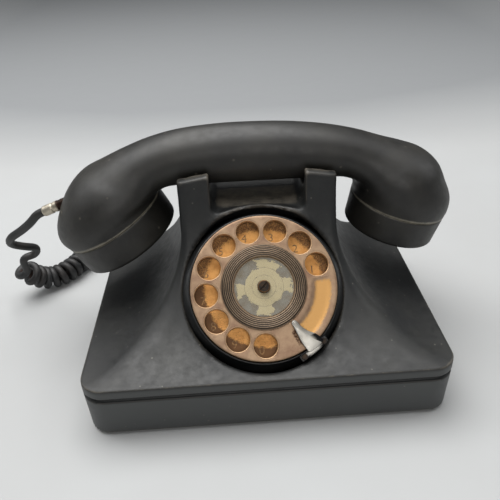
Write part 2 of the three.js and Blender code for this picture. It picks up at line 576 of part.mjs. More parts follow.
function capSolid(head, size, holes) {
  const low = -GAP - size.depth;
  const wall = 3;
  const { faceR, seamR } = size;
  const outside = [
    [0, low + 2.6], [faceR * 0.55, low + 1.6], [faceR - 5, low], [faceR - 1.4, low],
    [faceR, low + 1.4], [seamR, -GAP],
  ];
  const inside = [
    [seamR - wall, -GAP], [faceR - wall, low + 5], [faceR * 0.5, low + 5.4], [0, low + 5.6],
  ];
  const cap = onHead(head, [...outside, ...inside]);
  const turn = new THREE.Quaternion().setFromUnitVectors(new THREE.Vector3(0, 0, 1), head.up);
  const drills = holes.map(([r, count]) => Array.from({ length: count }, (_, i) => {
    const angle = i / count * Math.PI * 2;
    const drill = disc(1.6, low - 5, low + 10, 6).translate(r * Math.cos(angle), r * Math.sin(angle), 0);
    return solidOf(drill.applyQuaternion(turn).translate(head.seam.x, head.seam.y, head.seam.z));
  })).flat();
  return cut(cap, ...drills);
}
add('transmitter_cap', capSolid(left, TRANSMITTER, [[0, 1], [7, 5], [14, 8]]), bakelite);
add('receiver_cap', capSolid(right, RECEIVER, [[0, 1], [6, 5]]), bakelite);
const capsuleProfile = (r, low) => [[0, low], [r - 2, low], [r, low + 3], [r, 7], [r - 6, 8], [0, 8]];
add('transmitter_capsule', onHead(left, capsuleProfile(23.6, -10), 20), steel);
add('receiver_capsule', onHead(right, capsuleProfile(21.4, -10), 20), steel);

const ferrule = turned([
  [CORD_R * 0.4, -3.4], [2.9, -3.4], [3.1, 2],
  [3.1, FERRULE_LENGTH - 1], [2.7, FERRULE_LENGTH], [CORD_R * 0.4, FERRULE_LENGTH],
], 16);
add('cord_ferrule', placed(ferrule, FERRULE_BASE.toArray(), FERRULE_TURN), steel);

// ---------------------------------------------------------------- handset cord
const ferruleAxis = new THREE.Vector3(0, 0, 1).applyEuler(
  new THREE.Euler(...FERRULE_TURN.map(THREE.MathUtils.degToRad)));
const leadStart = FERRULE_BASE.clone().addScaledVector(ferruleAxis, FERRULE_LENGTH + GAP);
const leadNext = FERRULE_BASE.clone().addScaledVector(ferruleAxis, FERRULE_LENGTH + 4);
const leadRoute = [
  leadStart.toArray(), leadNext.toArray(), [-133, 17, 78.5], [-141, 21, 71.5], [-150, 25, 64.5],
  [-153.5, 31, 57], [-147.5, 36, 51.5], [-143.5, 42, 46.5], [-146, 44.5, 40.5],
  [-153.5, 42.5, 38.5], [-161, 42.5, 36], [-164, 46, 33.5],
];
const lyingZ = CURLY_R + 0.2;
const curlyRoute = [
  [-160, 50, 28.5], [-157.3, 54, 19.8], [-153, 59, 12.6], [-147, 63, lyingZ + 0.2],
  [-139.5, 67.5, lyingZ], [-133, 76, lyingZ], [-128, 86, lyingZ], [-120, 93.5, lyingZ],
  [-108, 97, lyingZ], [-95, 97.3, lyingZ], [-78, 97.3, lyingZ], [-60, 97.3, lyingZ],
  [-42, 97.3, lyingZ], [-22, 97.3, lyingZ], [-1, 97.3, lyingZ],
  [20, 97.3, lyingZ],
];
const tailRoute = [
  [20.4, 97.3, lyingZ], [24.5, 97.2, 8.2], [30.5, 95.4, 6.4], [33.5, 91, 4.2], [30, 86.7, 3],
  [21.5, 84.7, 2.8], [0, 84.5, 2.8], [-20, 84.5, 2.8], [-40, 85, 3.2], [-50, 85.7, 5.8], [-57, 86, 9.5],
  [-62, 85.6, 12.8], [-63.7, 84.3, 13.9], [EXIT.x, EXIT.y + 5.3, EXIT.z],
];
add('cord_lead', solidOf(tube(leadRoute, CORD_R, 8, 30)), rubber);
add('cord_curly', solidOf(tube(curlyRoute, CURLY_R, 12, 36)), rubber);
add('cord_tail', solidOf(tube(tailRoute, CORD_R, 8, 10)), rubber);

export default telephone;
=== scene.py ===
from math import cos, pi, radians, sin

import bpy
import numpy as np
from mathutils import Matrix


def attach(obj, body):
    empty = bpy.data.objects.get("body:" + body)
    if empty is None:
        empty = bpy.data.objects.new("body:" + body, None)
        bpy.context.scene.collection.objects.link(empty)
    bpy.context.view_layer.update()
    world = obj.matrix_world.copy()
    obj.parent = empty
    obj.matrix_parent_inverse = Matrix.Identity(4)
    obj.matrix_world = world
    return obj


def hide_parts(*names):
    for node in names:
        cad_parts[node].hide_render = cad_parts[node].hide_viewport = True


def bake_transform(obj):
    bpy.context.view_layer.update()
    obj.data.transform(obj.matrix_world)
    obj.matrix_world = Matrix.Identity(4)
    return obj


bl_info = {
    "name": "Rotary Telephone",
    "version": (1, 0, 0),
    "blender": (4, 5, 0),
    "location": "View3D > Sidebar > Telephone",
    "description": "Builds a desk telephone with a finger wheel dial around its packed model",
    "category": "Add Mesh",
}

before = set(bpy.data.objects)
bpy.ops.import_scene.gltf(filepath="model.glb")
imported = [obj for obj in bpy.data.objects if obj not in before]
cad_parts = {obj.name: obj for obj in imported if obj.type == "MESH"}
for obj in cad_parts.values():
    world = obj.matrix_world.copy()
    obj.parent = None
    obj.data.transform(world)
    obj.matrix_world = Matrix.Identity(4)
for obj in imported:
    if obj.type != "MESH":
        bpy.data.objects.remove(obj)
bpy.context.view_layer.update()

MM = 0.001
HANDLE_Y = 14.8


def linear(hex_colour):
    """Turns an sRGB hex colour into the linear values that a shader takes."""
    channels = [int(hex_colour[i:i + 2], 16) / 255 for i in (1, 3, 5)]
    return tuple(c / 12.92 if c <= 0.04045 else ((c + 0.055) / 1.055) ** 2.4 for c in channels)


# ------------------------------------------------------------------ sizes and colours
def colour_property(label, text, hex_colour):
    """A colour setting whose default is an sRGB hex value."""
    return bpy.props.FloatVectorProperty(
        name=label, description=text, subtype="COLOR", size=3, min=0, max=1, default=linear(hex_colour))


def length_property(label, text, millimetres):
    """A length setting whose default is given in millimetres."""
    return bpy.props.FloatProperty(
        name=label, description=text, subtype="DISTANCE", unit="LENGTH", min=0, default=millimetres * MM)


class TelephoneSizes(bpy.types.PropertyGroup):
    """Sizes that can be changed without leaving the packed model's box."""
    cord_thickness: length_property("Cord thickness", "Diameter of the handset cord", 5)
    coil_radius: length_property("Coil radius", "From the middle of the coil to the middle of the cord", 5.85)
    coil_pitch: length_property("Coil pitch", "Distance from one turn of the coil to the next", 5.5)
    groove_spacing: length_property("Ring grooves", "Distance between the grooves of the card ring", 0.95)
    dish_depth: length_property("Dish depth", "How far the blank part of the finger wheel is dished", 0.8)


class TelephoneColours(bpy.types.PropertyGroup):
    """Base colours of the visible finishes."""
    bakelite: colour_property("Bakelite", "Moulded black housing and handset", "#181919")
    handset: colour_property("Handset", "Black with a warm tint", "#191816")
    copper: colour_property("Wheel", "Worn copper plating of the finger wheel", "#ad9176")
    plate: colour_property("Number plate", "Bright copper of the number plate", "#dfa560")
    paper: colour_property("Card", "Aged paper of the number card", "#b0a37f")
    ring: colour_property("Card ring", "Browned ring around the card", "#6a5a4b")
    steel: colour_property("Finger stop", "Nickel plating of the finger stop", "#b7b4ad")
    cord: colour_property("Cord", "Rubber jacket of the cord", "#1b1c1d")
    floor: colour_property("Floor", "Table top and backdrop", "#b4b5b5")


# ------------------------------------------------------------------ mesh tools
def grid_quads(rows, columns, close_rows=False, close_columns=False):
    """Quads of a grid of rows times columns points, wrapped round where it closes."""
    i = np.arange(rows if close_rows else rows - 1)[:, None]
    j = np.arange(columns if close_columns else columns - 1)[None, :]
    i, j = np.broadcast_arrays(i, j)
    down, right = (i + 1) % rows, (j + 1) % columns
    quads = [i * columns + j, i * columns + right, down * columns + right, down * columns + j]
    return np.stack([q.ravel() for q in quads], axis=1)


def weld(points, quads, step=1e-3):
    """Merges points that lie within a step of each other, and drops the faces that vanish."""
    keys = np.round(points / step).astype(np.int64)
    _, first, back = np.unique(keys, axis=0, return_index=True, return_inverse=True)
    quads = back.reshape(-1)[quads]
    same = quads == np.roll(quads, -1, axis=1)
    whole = quads[~same.any(axis=1)].tolist()
    thin = quads[same.sum(axis=1) == 1]
    keep = ~same[same.sum(axis=1) == 1]
    return first, whole + thin[keep].reshape(-1, 3).tolist()


def finish_piece(name, shells, body, material, replaces=(), sharp=38, fields=None):
    """Puts closed shells of points (in millimetres) and quads into one object on a body."""
    all_points, all_faces, start = [], [], 0
    values = {key: [] for key in (fields or {})}
    offset = 0
    for points, quads in shells:
        points = np.asarray(points, float).reshape(-1, 3)
        first, faces = weld(points, quads)
        kept = points[first]
        fan = [t for f in faces for t in ([f] if len(f) == 3 else [[f[0], f[1], f[2]], [f[0], f[2], f[3]]])]
        fan = np.array(fan)
        middle = kept - kept.mean(axis=0)
        size = np.einsum("ij,ij->", np.cross(middle[fan[:, 0]], middle[fan[:, 1]]), middle[fan[:, 2]])
        if size < 0:
            faces = [f[::-1] for f in faces]
        all_faces += [[v + start for v in f] for f in faces]
        all_points.append(kept)
        for key in values:
            values[key].append(np.asarray(fields[key]).reshape(-1)[offset:offset + len(points)][first])
        start += len(kept)
        offset += len(points)
    mesh = bpy.data.meshes.new(name)
    mesh.from_pydata((np.concatenate(all_points) * MM).tolist(), [], all_faces)
    mesh.polygons.foreach_set("use_smooth", np.ones(len(mesh.polygons), bool))
    mesh.set_sharp_from_angle(angle=radians(sharp))
    for key, parts in values.items():
        field = mesh.attributes.new(key, "FLOAT", "POINT")
        field.data.foreach_set("value", np.concatenate(parts).astype(np.float32))
    mesh.update()
    piece = bpy.data.objects.new(name, mesh)
    bpy.context.collection.objects.link(piece)
    mesh.materials.append(material)
    if body:
        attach(piece, body)
    if replaces:
        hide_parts(*replaces)
    return piece


def spline(points, count, closed=False):
    """Centripetal Catmull-Rom curve through the points, sampled evenly along its length."""
    points = np.asarray(points, float)
    if closed:
        points = np.concatenate([points[-1:], points, points[:2]])
    else:
        points = np.concatenate([[2 * points[0] - points[1]], points, [2 * points[-1] - points[-2]]])
    knots = np.concatenate([[0], np.cumsum(np.linalg.norm(np.diff(points, axis=0), axis=1) ** 0.5)])
    fine = np.linspace(knots[1], knots[-2], 40 * len(points))
    k = np.clip(np.searchsorted(knots, fine, side="right") - 1, 1, len(points) - 3)
    t = fine[:, None]
    t0, t1, t2, t3 = (knots[k + o][:, None] for o in (-1, 0, 1, 2))
    p0, p1, p2, p3 = (points[k + o] for o in (-1, 0, 1, 2))
    a1 = (t1 - t) / (t1 - t0) * p0 + (t - t0) / (t1 - t0) * p1
    a2 = (t2 - t) / (t2 - t1) * p1 + (t - t1) / (t2 - t1) * p2
    a3 = (t3 - t) / (t3 - t2) * p2 + (t - t2) / (t3 - t2) * p3
    b1 = (t2 - t) / (t2 - t0) * a1 + (t - t0) / (t2 - t0) * a2
    b2 = (t3 - t) / (t3 - t1) * a2 + (t - t1) / (t3 - t1) * a3
    curve = (t2 - t) / (t2 - t1) * b1 + (t - t1) / (t2 - t1) * b2
    length = np.concatenate([[0], np.cumsum(np.linalg.norm(np.diff(curve, axis=0), axis=1))])
    even = np.linspace(0, length[-1], count, endpoint=not closed)
    return np.stack([np.interp(even, length, curve[:, i]) for i in range(curve.shape[1])], axis=1)


def rounded(profile, radius, steps=4, closed=False):
    """Replaces each corner of a profile by a short parabola that starts a radius before it."""
    points = np.asarray(profile, float)
    before, after = np.roll(points, 1, axis=0), np.roll(points, -1, axis=0)
    to_before, to_after = before - points, after - points
    long_before = np.linalg.norm(to_before, axis=1, keepdims=True)
    long_after = np.linalg.norm(to_after, axis=1, keepdims=True)
    reach = np.minimum(radius, np.minimum(long_before, long_after) * 0.49)
    if not closed:
        reach[[0, -1]] = 0
    enter = points + to_before / long_before * reach
    leave = points + to_after / long_after * reach
    t = np.linspace(0, 1, steps + 1)[None, :, None]
    curve = (1 - t) ** 2 * enter[:, None] + 2 * t * (1 - t) * points[:, None] + t ** 2 * leave[:, None]
    return curve.reshape(-1, points.shape[1])


def turned(profile, segments=96, closed=False):
    """Surface of revolution: the profile (radius, height) carried round the Z axis."""
    profile = np.asarray(profile, float)
    angle = np.arange(segments) / segments * 2 * pi
    r, z = profile[:, :1], profile[:, 1:2]
    points = np.stack([r * np.cos(angle), r * np.sin(angle), z + 0 * angle], axis=-1)
    return points.reshape(-1, 3), grid_quads(len(profile), segments, closed, True)


def tube(path, radii, sides=14):
    """Circles of the given radii carried along a path, closed at both ends, without twist."""
    path = np.asarray(path, float)
    tangent = np.gradient(path, axis=0)
    tangent /= np.linalg.norm(tangent, axis=1, keepdims=True)
    normal = np.zeros_like(path)
    start = np.cross(tangent[0], [0.3, 0.5, 0.8])
    normal[0] = start / np.linalg.norm(start)
    for i in range(1, len(path)):
        carried = normal[i - 1] - tangent[i] * (normal[i - 1] @ tangent[i])
        normal[i] = carried / np.linalg.norm(carried)
    binormal = np.cross(tangent, normal)
    angle = np.arange(sides) / sides * 2 * pi
    radii = np.broadcast_to(radii, len(path))[:, None, None]
    ring = path[:, None] + radii * (
        np.cos(angle)[:, None] * normal[:, None] + np.sin(angle)[:, None] * binormal[:, None])
    ring = np.concatenate([np.repeat(path[:1, None], sides, 1), ring, np.repeat(path[-1:, None], sides, 1)])
    return ring.reshape(-1, 3), grid_quads(len(ring), sides, False, True)


def step_between(low, high, value):
    """Smooth step: 0 below low, 1 above high, 3t^2 - 2t^3 between."""
    t = np.clip((value - low) / (high - low), 0, 1)
    return t * t * (3 - 2 * t)


def ripple(x, y, seed, size):
    """Smooth irregular pattern between -1 and 1: a sum of sine waves in seeded directions."""
    random = np.random.default_rng(seed)
    total = 0
    for octave in range(5):
        angle, phase = random.uniform(0, 2 * pi, 2)
        turn = 2 * pi / size * 1.7 ** octave
        wave = np.sin(turn * (np.cos(angle) * x + np.sin(angle) * y) + phase)
        crossing = np.sin(turn * 0.83 * (np.cos(angle) * y - np.sin(angle) * x) + 2 * phase)
        total = total + wave * crossing / 1.35 ** octave
    return total / 2.4


# ------------------------------------------------------------------ materials
def add_node(tree, kind, inputs=None, **settings):
    """Adds a shader node, sets what it is given and links the inputs that are sockets."""
    node = tree.nodes.new("ShaderNode" + kind)
    for name, value in settings.items():
        setattr(node, name, value)
    for name, value in (inputs or {}).items():
        if isinstance(value, bpy.types.NodeSocket):
            tree.links.new(value, node.inputs[name])
        else:
            node.inputs[name].default_value = value
    return node


def finish(name, colour, patch=None, patch_mm=18, patch_amount=0.5, grain_mm=0.6, grain_depth=0.02,
           roughness=(0.4, 0.5), metallic=0.0, ior=None, wear=None, wear_from=0.52, specks=None,
           painted=(), alpha=None, dents=0.0):
    """A weathered surface: base colour mixed with a patch colour by broad noise, painted areas
    from the piece's own fields, worn convex edges, sparse specks, and a fine grain as bump."""
    material = bpy.data.materials.new(name)
    material.use_nodes = True
    tree = material.node_tree
    tree.nodes.clear()
    place = add_node(tree, "TexCoord").outputs["Object"]
    broad = add_node(tree, "TexNoise", {
        "Vector": place, "Scale": 1000 / patch_mm, "Detail": 7.0, "Roughness": 0.62}).outputs["Fac"]
    fine = add_node(tree, "TexNoise", {
        "Vector": place, "Scale": 1000 / grain_mm, "Detail": 3.0, "Roughness": 0.6}).outputs["Fac"]
    middle = add_node(tree, "TexNoise", {
        "Vector": place, "Scale": 1000 / (patch_mm * 0.16), "Detail": 4.0, "Roughness": 0.7}).outputs["Fac"]
    amount = add_node(tree, "MapRange", {
        "Value": broad, "From Min": 0.42, "From Max": 0.66, "To Min": 0.0, "To Max": patch_amount,
    }).outputs["Result"]
    mix = add_node(tree, "Mix", {0: amount, 6: (*colour, 1), 7: (*(patch or colour), 1)}, data_type="RGBA")
    shade = mix.outputs[2]
    for field, paint, soft in painted:
        mask = add_node(tree, "Attribute", attribute_name=field).outputs["Fac"]
        ragged = add_node(tree, "Math", {0: middle, 1: 0.5}, operation="SUBTRACT").outputs[0]
        ragged = add_node(tree, "Math", {0: ragged, 1: soft}, operation="MULTIPLY").outputs[0]
        mask = add_node(tree, "Math", {0: mask, 1: ragged}, operation="ADD").outputs[0]
        mask = add_node(tree, "MapRange", {
            "Value": mask, "From Min": 0.3, "From Max": 0.7, "To Min": 0.0, "To Max": 1.0}).outputs["Result"]
        shade = add_node(tree, "Mix", {0: mask, 6: shade, 7: (*paint, 1)}, data_type="RGBA").outputs[2]
    if wear:
        edge = add_node(tree, "NewGeometry").outputs["Pointiness"]
        edge = add_node(tree, "MapRange", {
            "Value": edge, "From Min": wear_from, "From Max": wear_from + 0.05, "To Min": 0.0, "To Max": 0.8,
        }).outputs[0]
        edge = add_node(tree, "Math", {0: edge, 1: middle}, operation="MULTIPLY", use_clamp=True).outputs[0]
        shade = add_node(tree, "Mix", {0: edge, 6: shade, 7: (*wear, 1)}, data_type="RGBA").outputs[2]
    if specks:
        spots = add_node(tree, "TexVoronoi", {"Vector": place, "Scale": 1000 / specks[1]}).outputs["Distance"]
        spots = add_node(tree, "MapRange", {
            "Value": spots, "From Min": 0.03, "From Max": 0.09, "To Min": 0.55, "To Max": 0.0}).outputs[0]
        shade = add_node(tree, "Mix", {0: spots, 6: shade, 7: (*specks[0], 1)}, data_type="RGBA").outputs[2]
    rough = add_node(tree, "MapRange", {
        "Value": middle, "From Min": 0.3, "From Max": 0.7, "To Min": roughness[0], "To Max": roughness[1]})
    height = add_node(tree, "Bump", {"Height": fine, "Strength": 1.0, "Distance": grain_depth * MM}).outputs[0]
    if dents:
        height = add_node(tree, "Bump", {
            "Height": broad, "Strength": 1.0, "Distance": dents * MM, "Normal": height}).outputs[0]
    values = {"Base Color": shade, "Roughness": rough.outputs[0], "Metallic": metallic, "Normal": height}
    if ior:
        values["IOR"] = ior
    if alpha is not None:
        values["Alpha"] = alpha
    shader = add_node(tree, "BsdfPrincipled", values)
    add_node(tree, "OutputMaterial", {"Surface": shader.outputs[0]})
    return material


MATERIALS = {}


def make_materials(colours):
    """Every finish of the telephone, each named for the real material."""
    hex_of = linear
    # Phenolic resin, compression moulded and buffed, now satin: faint brown-green bloom and pale specks.
    # Painted light on the housing: edge and horn-top wear plus a painted highlight on the saddle, dust plus
    # painted light from the floor on the skirt, and painted shade in the side scoops, round the dial, on the
    # posts and in the skirt groove.
    MATERIALS["bakelite"] = finish(
        "moulded_black_bakelite", colours.bakelite, hex_of("#2a2a27"), 34, 0.75, 0.9, 0.012,
        (0.42, 0.6), ior=1.55, specks=(hex_of("#77746a"), 7), wear=hex_of("#6e675c"), wear_from=0.53,
        painted=[("worn", hex_of("#615b51"), 0.9), ("dust_and_floor_light", hex_of("#434545"), 0.3),
                 ("painted_shade", hex_of("#101213"), 0.4)], dents=0.05)
    # The same resin handled for decades: warmer, a little shinier.
    MATERIALS["handset"] = finish(
        "handled_black_bakelite", colours.handset, hex_of("#2c2a25"), 30, 0.8, 0.9, 0.01,
        (0.42, 0.58), ior=1.55, specks=(hex_of("#6d675c"), 11), dents=0.04,
        painted=[("dust", hex_of("#8f897a"), 0.6)])
    # Stoving enamel over pressed steel: smooth, deeper black than the resin.
    MATERIALS["enamel"] = finish(
        "black_stoved_enamel", hex_of("#141516"), hex_of("#232425"), 12, 0.5, 0.5, 0.006, (0.3, 0.42),
        ior=1.52, wear=hex_of("#6a6660"), wear_from=0.56)
    # Copper plating on brass, dulled pinkish brown, with painted highlights in the dished blank, on the hole
    # edges and rim, and a painted shadow under the finger stop.
    MATERIALS["wheel"] = finish(
        "worn_copper_plate", colours.copper, hex_of("#8a6c58"), 7, 0.8, 0.35, 0.012, (0.42, 0.58),
        metallic=0.75, specks=(hex_of("#4b382c"), 3.1),
        painted=[("dish_highlight", hex_of("#cf9f62"), 0.9), ("edge", hex_of("#d8b48a"), 0.6),
                 ("stop_shadow", hex_of("#4a2f1f"), 1.3)])
    # Bright copper sheet, darker towards its rim from tarnish and from painted shade and a dark painted
    # reflection of the wheel above it.
    MATERIALS["plate"] = finish(
        "copper_sheet_with_tarnish_and_shade", colours.plate, hex_of("#b77a3c"), 4, 0.7, 0.4, 0.01, (0.4, 0.52),
        metallic=0.6, specks=(hex_of("#3b2413"), 2.3), painted=[("tarnish_and_shade", hex_of("#6a4a2e"), 1.3)])
    # Oil paint numerals, mostly rubbed away.
    MATERIALS["numeral"] = finish(
        "rubbed_black_numeral_paint", hex_of("#6d5234"), hex_of("#b98c50"), 0.9, 1.0, 0.3, 0.01, (0.5, 0.6))
    # Brass ring browned by age, turned with fine concentric grooves; painted shade in the grooves and a painted
    # highlight on the crests.
    MATERIALS["ring"] = finish(
        "browned_brass_ring", colours.ring, hex_of("#3f362f"), 6, 0.75, 0.3, 0.01, (0.38, 0.5),
        metallic=0.65, painted=[("groove_shade", hex_of("#1f1914"), 0.25), ("crest_highlight", hex_of("#a58e74"), 0.5)])
    # Ledger paper, torn and yellowed, over a blue-grey card.
    MATERIALS["card"] = finish(
        "torn_aged_paper", hex_of("#6a6864"), hex_of("#57493a"), 5, 0.9, 0.25, 0.03, (0.7, 0.85),
        ior=1.45, painted=[("paper", colours.paper, 0.5), ("ink", hex_of("#3c3a34"), 0.5)])
    # Cellulose acetate, clear with a faint yellow cast.
    MATERIALS["celluloid"] = finish(
        "clear_celluloid", hex_of("#f2e9cf"), hex_of("#e2d3ac"), 9, 0.4, 0.8, 0.004, (0.12, 0.2),
        ior=1.5, alpha=0.07)
    # Dull nickel on stamped steel.
    MATERIALS["nickel"] = finish(
        "dull_nickel_plate", colours.steel, hex_of("#9a958c"), 5, 0.6, 0.3, 0.008, (0.28, 0.42),
        metallic=0.9, specks=(hex_of("#6d675f"), 2.4), wear=hex_of("#efece4"), wear_from=0.54,
        painted=[("foot", hex_of("#232325"), 0.2)])
    # Zinc-plated steel for springs, brackets and screws.
    MATERIALS["steel"] = finish(
        "zinc_plated_steel", hex_of("#8f9194"), hex_of("#6d6c68"), 8, 0.6, 0.4, 0.008, (0.35, 0.5),
        metallic=1.0)
    # Dark slotted screw, oxide brown.
    MATERIALS["dark_steel"] = finish(
        "oxidised_steel_screw", hex_of("#2b2724"), hex_of("#4a3a2c"), 1.4, 0.7, 0.3, 0.01, (0.4, 0.55),
        metallic=0.8, painted=[("halo", hex_of("#6e5236"), 0.4)])
    # Half-hard brass, lacquer gone.
    MATERIALS["brass"] = finish(
        "dulled_brass", hex_of("#b08d4f"), hex_of("#7c6237"), 8, 0.6, 0.4, 0.008, (0.34, 0.5), metallic=1.0)
    # Silk-covered copper winding, brown with turns about 0.4 mm apart, drawn at 0.8 mm to show.
    MATERIALS["winding"] = finish(
        "silk_covered_winding", hex_of("#6f3d22"), hex_of("#8c5a31"), 0.8, 0.9, 0.4, 0.08, (0.55, 0.7))
    # Vulcanised fibre board, red-brown and matt.
    MATERIALS["fibre"] = finish(
        "vulcanised_fibre", hex_of("#5b3a2c"), hex_of("#442b21"), 5, 0.7, 0.5, 0.02, (0.6, 0.75))
    # Waxed black rubber, matt with a slight sheen.
    MATERIALS["rubber"] = finish(
        "black_vulcanised_rubber", hex_of("#191a1b"), hex_of("#2a2a29"), 7, 0.6, 0.5, 0.02, (0.55, 0.7),
        ior=1.52)
    # Neoprene jacket, black, dusty brown inside the turns.
    MATERIALS["cord"] = finish(
        "neoprene_cord_jacket", colours.cord, hex_of("#2b2623"), 9, 0.7, 0.7, 0.02, (0.46, 0.6), ior=1.52,
        painted=[("inner", hex_of("#3d2e28"), 0.7)])
    # Nickelled clamp, dull, with a browned end at the handset.
    MATERIALS["ferrule"] = finish(
        "aged_nickel_ferrule", hex_of("#c8bfae"), hex_of("#8f8574"), 3, 0.6, 0.3, 0.01, (0.36, 0.5),
        metallic=0.8, painted=[("brown", hex_of("#2e211a"), 0.8)])
    # Painted table top, matt and pale, with painted shade that darkens it with distance.
    MATERIALS["floor"] = finish(
        "matt_painted_board", colours.floor, hex_of("#bfc2c3"), 260, 0.3, 1.2, 0.01, (0.75, 0.85),
        painted=[("far", hex_of("#8f9193"), 0.0)])


def carry(material, *nodes):
    """Gives packed parts that keep their own shape a made material."""
    for name in nodes:
        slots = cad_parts[name].data.materials
        slots.clear()
        slots.append(MATERIALS[material])


# ------------------------------------------------------------------ dial frame
DIAL_CENTRE = np.array([0, -42, 64.6])
DIAL_ACROSS = np.array([1.0, 0, 0])
DIAL_UP = np.array([0, 0.6966, 0.7175])
DIAL_OUT = np.array([0, -0.7175, 0.6966])


def on_dial(shell):
    """Moves a shell from the dial's own axes to its place."""
    points, quads = shell
    across, up, out = points[:, :1] * DIAL_ACROSS, points[:, 1:2] * DIAL_UP, points[:, 2:] * DIAL_OUT
    return DIAL_CENTRE + across + up + out, quads


# ------------------------------------------------------------------ camera and stage
CAMERA_PLACE = (-14.5, -281.1, 237.7)
CAMERA_YAW, CAMERA_PITCH, CAMERA_ROLL = 2.59, 31.71, -2.08


def make_camera():
    """Camera axes from yaw, pitch and roll: forward, right and up."""
    yaw, pitch, roll = radians(CAMERA_YAW), radians(CAMERA_PITCH), radians(CAMERA_ROLL)
    forward = np.array([sin(yaw) * cos(pitch), cos(yaw) * cos(pitch), -sin(pitch)])
    level = np.array([cos(yaw), -sin(yaw), 0])
    upright = np.cross(level, forward)
    right = cos(roll) * level + sin(roll) * upright
    up = cos(roll) * upright - sin(roll) * level
    data = bpy.data.cameras.new("camera")
    data.sensor_width = 36
    data.lens = 40.74
    data.shift_x = -0.0109
    data.shift_y = -0.0081
    camera = bpy.data.objects.new("camera", data)
    bpy.context.collection.objects.link(camera)
    turn = np.stack([right, up, -forward], axis=1)
    matrix = Matrix(turn.tolist()).to_4x4()
    matrix.translation = [c * MM for c in CAMERA_PLACE]
    camera.matrix_world = matrix
    bpy.context.scene.camera = camera


def make_lamp(name, place, aim, size, watts, tint):
    """A square soft lamp at a place, facing another."""
    data = bpy.data.lights.new(name, "AREA")
    data.size, data.energy, data.color = size, watts, tint
    lamp = bpy.data.objects.new(name, data)
    bpy.context.collection.objects.link(lamp)
    back = np.subtract(place, aim)
    back = back / np.linalg.norm(back)
    side = np.cross([0, 0.001, 1], back)
    side /= np.linalg.norm(side)
    matrix = Matrix(np.stack([side, np.cross(back, side), back], axis=1).tolist()).to_4x4()
    matrix.translation = place
    lamp.matrix_world = matrix


def make_stage():
    """A floor that sweeps up behind into a backdrop, four soft lamps and a dim grey sky."""
    run = np.linspace(0, 1, 60)
    y = np.interp(run, [0, 0.2, 0.6, 1], [-2.2, -0.2, 1.6, 4.2])
    z = 1.6 * step_between(2.2, 4.2, y) ** 1.5
    x = np.linspace(-4, 4, 30)
    points = np.stack(np.broadcast_arrays(x[None, :], y[:, None], z[:, None]), -1)
    mesh = bpy.data.meshes.new("floor")
    mesh.from_pydata(points.reshape(-1, 3).tolist(), [], grid_quads(60, 30).tolist())
    mesh.polygons.foreach_set("use_smooth", np.ones(len(mesh.polygons), bool))
    floor = bpy.data.objects.new("floor", mesh)
    bpy.context.collection.objects.link(floor)
    mesh.materials.append(MATERIALS["floor"])
    # Painted shade: the floor and backdrop get darker with distance behind the telephone, less so towards the
    # sides.
    far = step_between(0.02, 0.7, points[..., 1]) * (1 - 0.5 * step_between(0.1, 0.8, np.abs(points[..., 0])))
    mesh.attributes.new("far", "FLOAT", "POINT").data.foreach_set("value", far.ravel())
    make_lamp("key_lamp", (-0.2, 0.28, 1.3), (-0.03, 0, 0), 1.3, 27, (1, 0.995, 0.985))
    make_lamp("left_lamp", (-1.25, 0.35, 0.95), (0, 0, 0.05), 0.9, 4, (0.98, 0.99, 1))
    make_lamp("right_lamp", (1.25, 0.3, 0.95), (0, 0, 0.05), 0.9, 4, (0.98, 0.99, 1))
    make_lamp("front_lamp", (0.1, -1.4, 1.0), (0, 0, 0.04), 0.8, 6, (1, 0.98, 0.95))
    world = bpy.data.worlds.new("studio")
    bpy.context.scene.world = world
    world.use_nodes = True
    background = world.node_tree.nodes["Background"]
    background.inputs[0].default_value = (*linear("#dfe4e8"), 1)
    background.inputs[1].default_value = 0.14
    bpy.context.scene.view_settings.view_transform = "Standard"


# ------------------------------------------------------------------ cord
FERRULE_BASE = np.array([-111.4, HANDLE_Y, 90.9])
FERRULE_AXIS = np.array([-0.9336, 0, -0.3584])
EXIT = np.array([-64, 77.5, 14])
LYING_Z = 8.6
LEAD_ROUTE = [
    FERRULE_BASE + FERRULE_AXIS * 12.3, FERRULE_BASE + FERRULE_AXIS * 16, (-133, 17, 78.5), (-141, 21, 71.5),
    (-150, 25, 64.5), (-153.5, 31, 57), (-147.5, 36, 51.5), (-143.5, 42, 46.5), (-146, 44.5, 40.5),
    (-153.5, 42.5, 38.5), (-161, 42.5, 36)]
COIL_ROUTE = [
    (-160, 50, 28.5), (-157.3, 54, 19.8), (-153, 59, 12.6), (-147, 63, LYING_Z + 0.2),
    (-139.5, 67.5, LYING_Z), (-133, 76, LYING_Z), (-128, 86, LYING_Z), (-120, 93.5, LYING_Z),
    (-108, 97, LYING_Z), (-95, 97.3, LYING_Z), (-78, 97.3, LYING_Z), (-60, 97.3, LYING_Z),
    (-42, 97.3, LYING_Z), (-22, 97.3, LYING_Z), (-1, 97.3, LYING_Z), (20, 97.3, LYING_Z)]
TAIL_ROUTE = [
    (30.5, 95.4, 6.4), (33.5, 91, 4.2), (30, 86.7, 3), (21.5, 84.7, 2.8), (0, 84.5, 2.8), (-20, 84.5, 2.8),
    (-40, 85, 3.2), (-50, 85.7, 5.8), (-57, 86, 9.5), (-62, 85.6, 12.8), (-63.7, 84.3, 13.9),
    (EXIT[0], 80, EXIT[2])]
LOOSE_LENGTH, LOOSE_PITCH = 24, 1.9
POINTS_A_TURN = 20
COIL_START = 2.6
COIL_TRIM_FRONT, COIL_TRIM_END = 10, 14
CORD_POINTS, CORD_SIDES, CORD_SMOOTHING = 1120, 12, 3


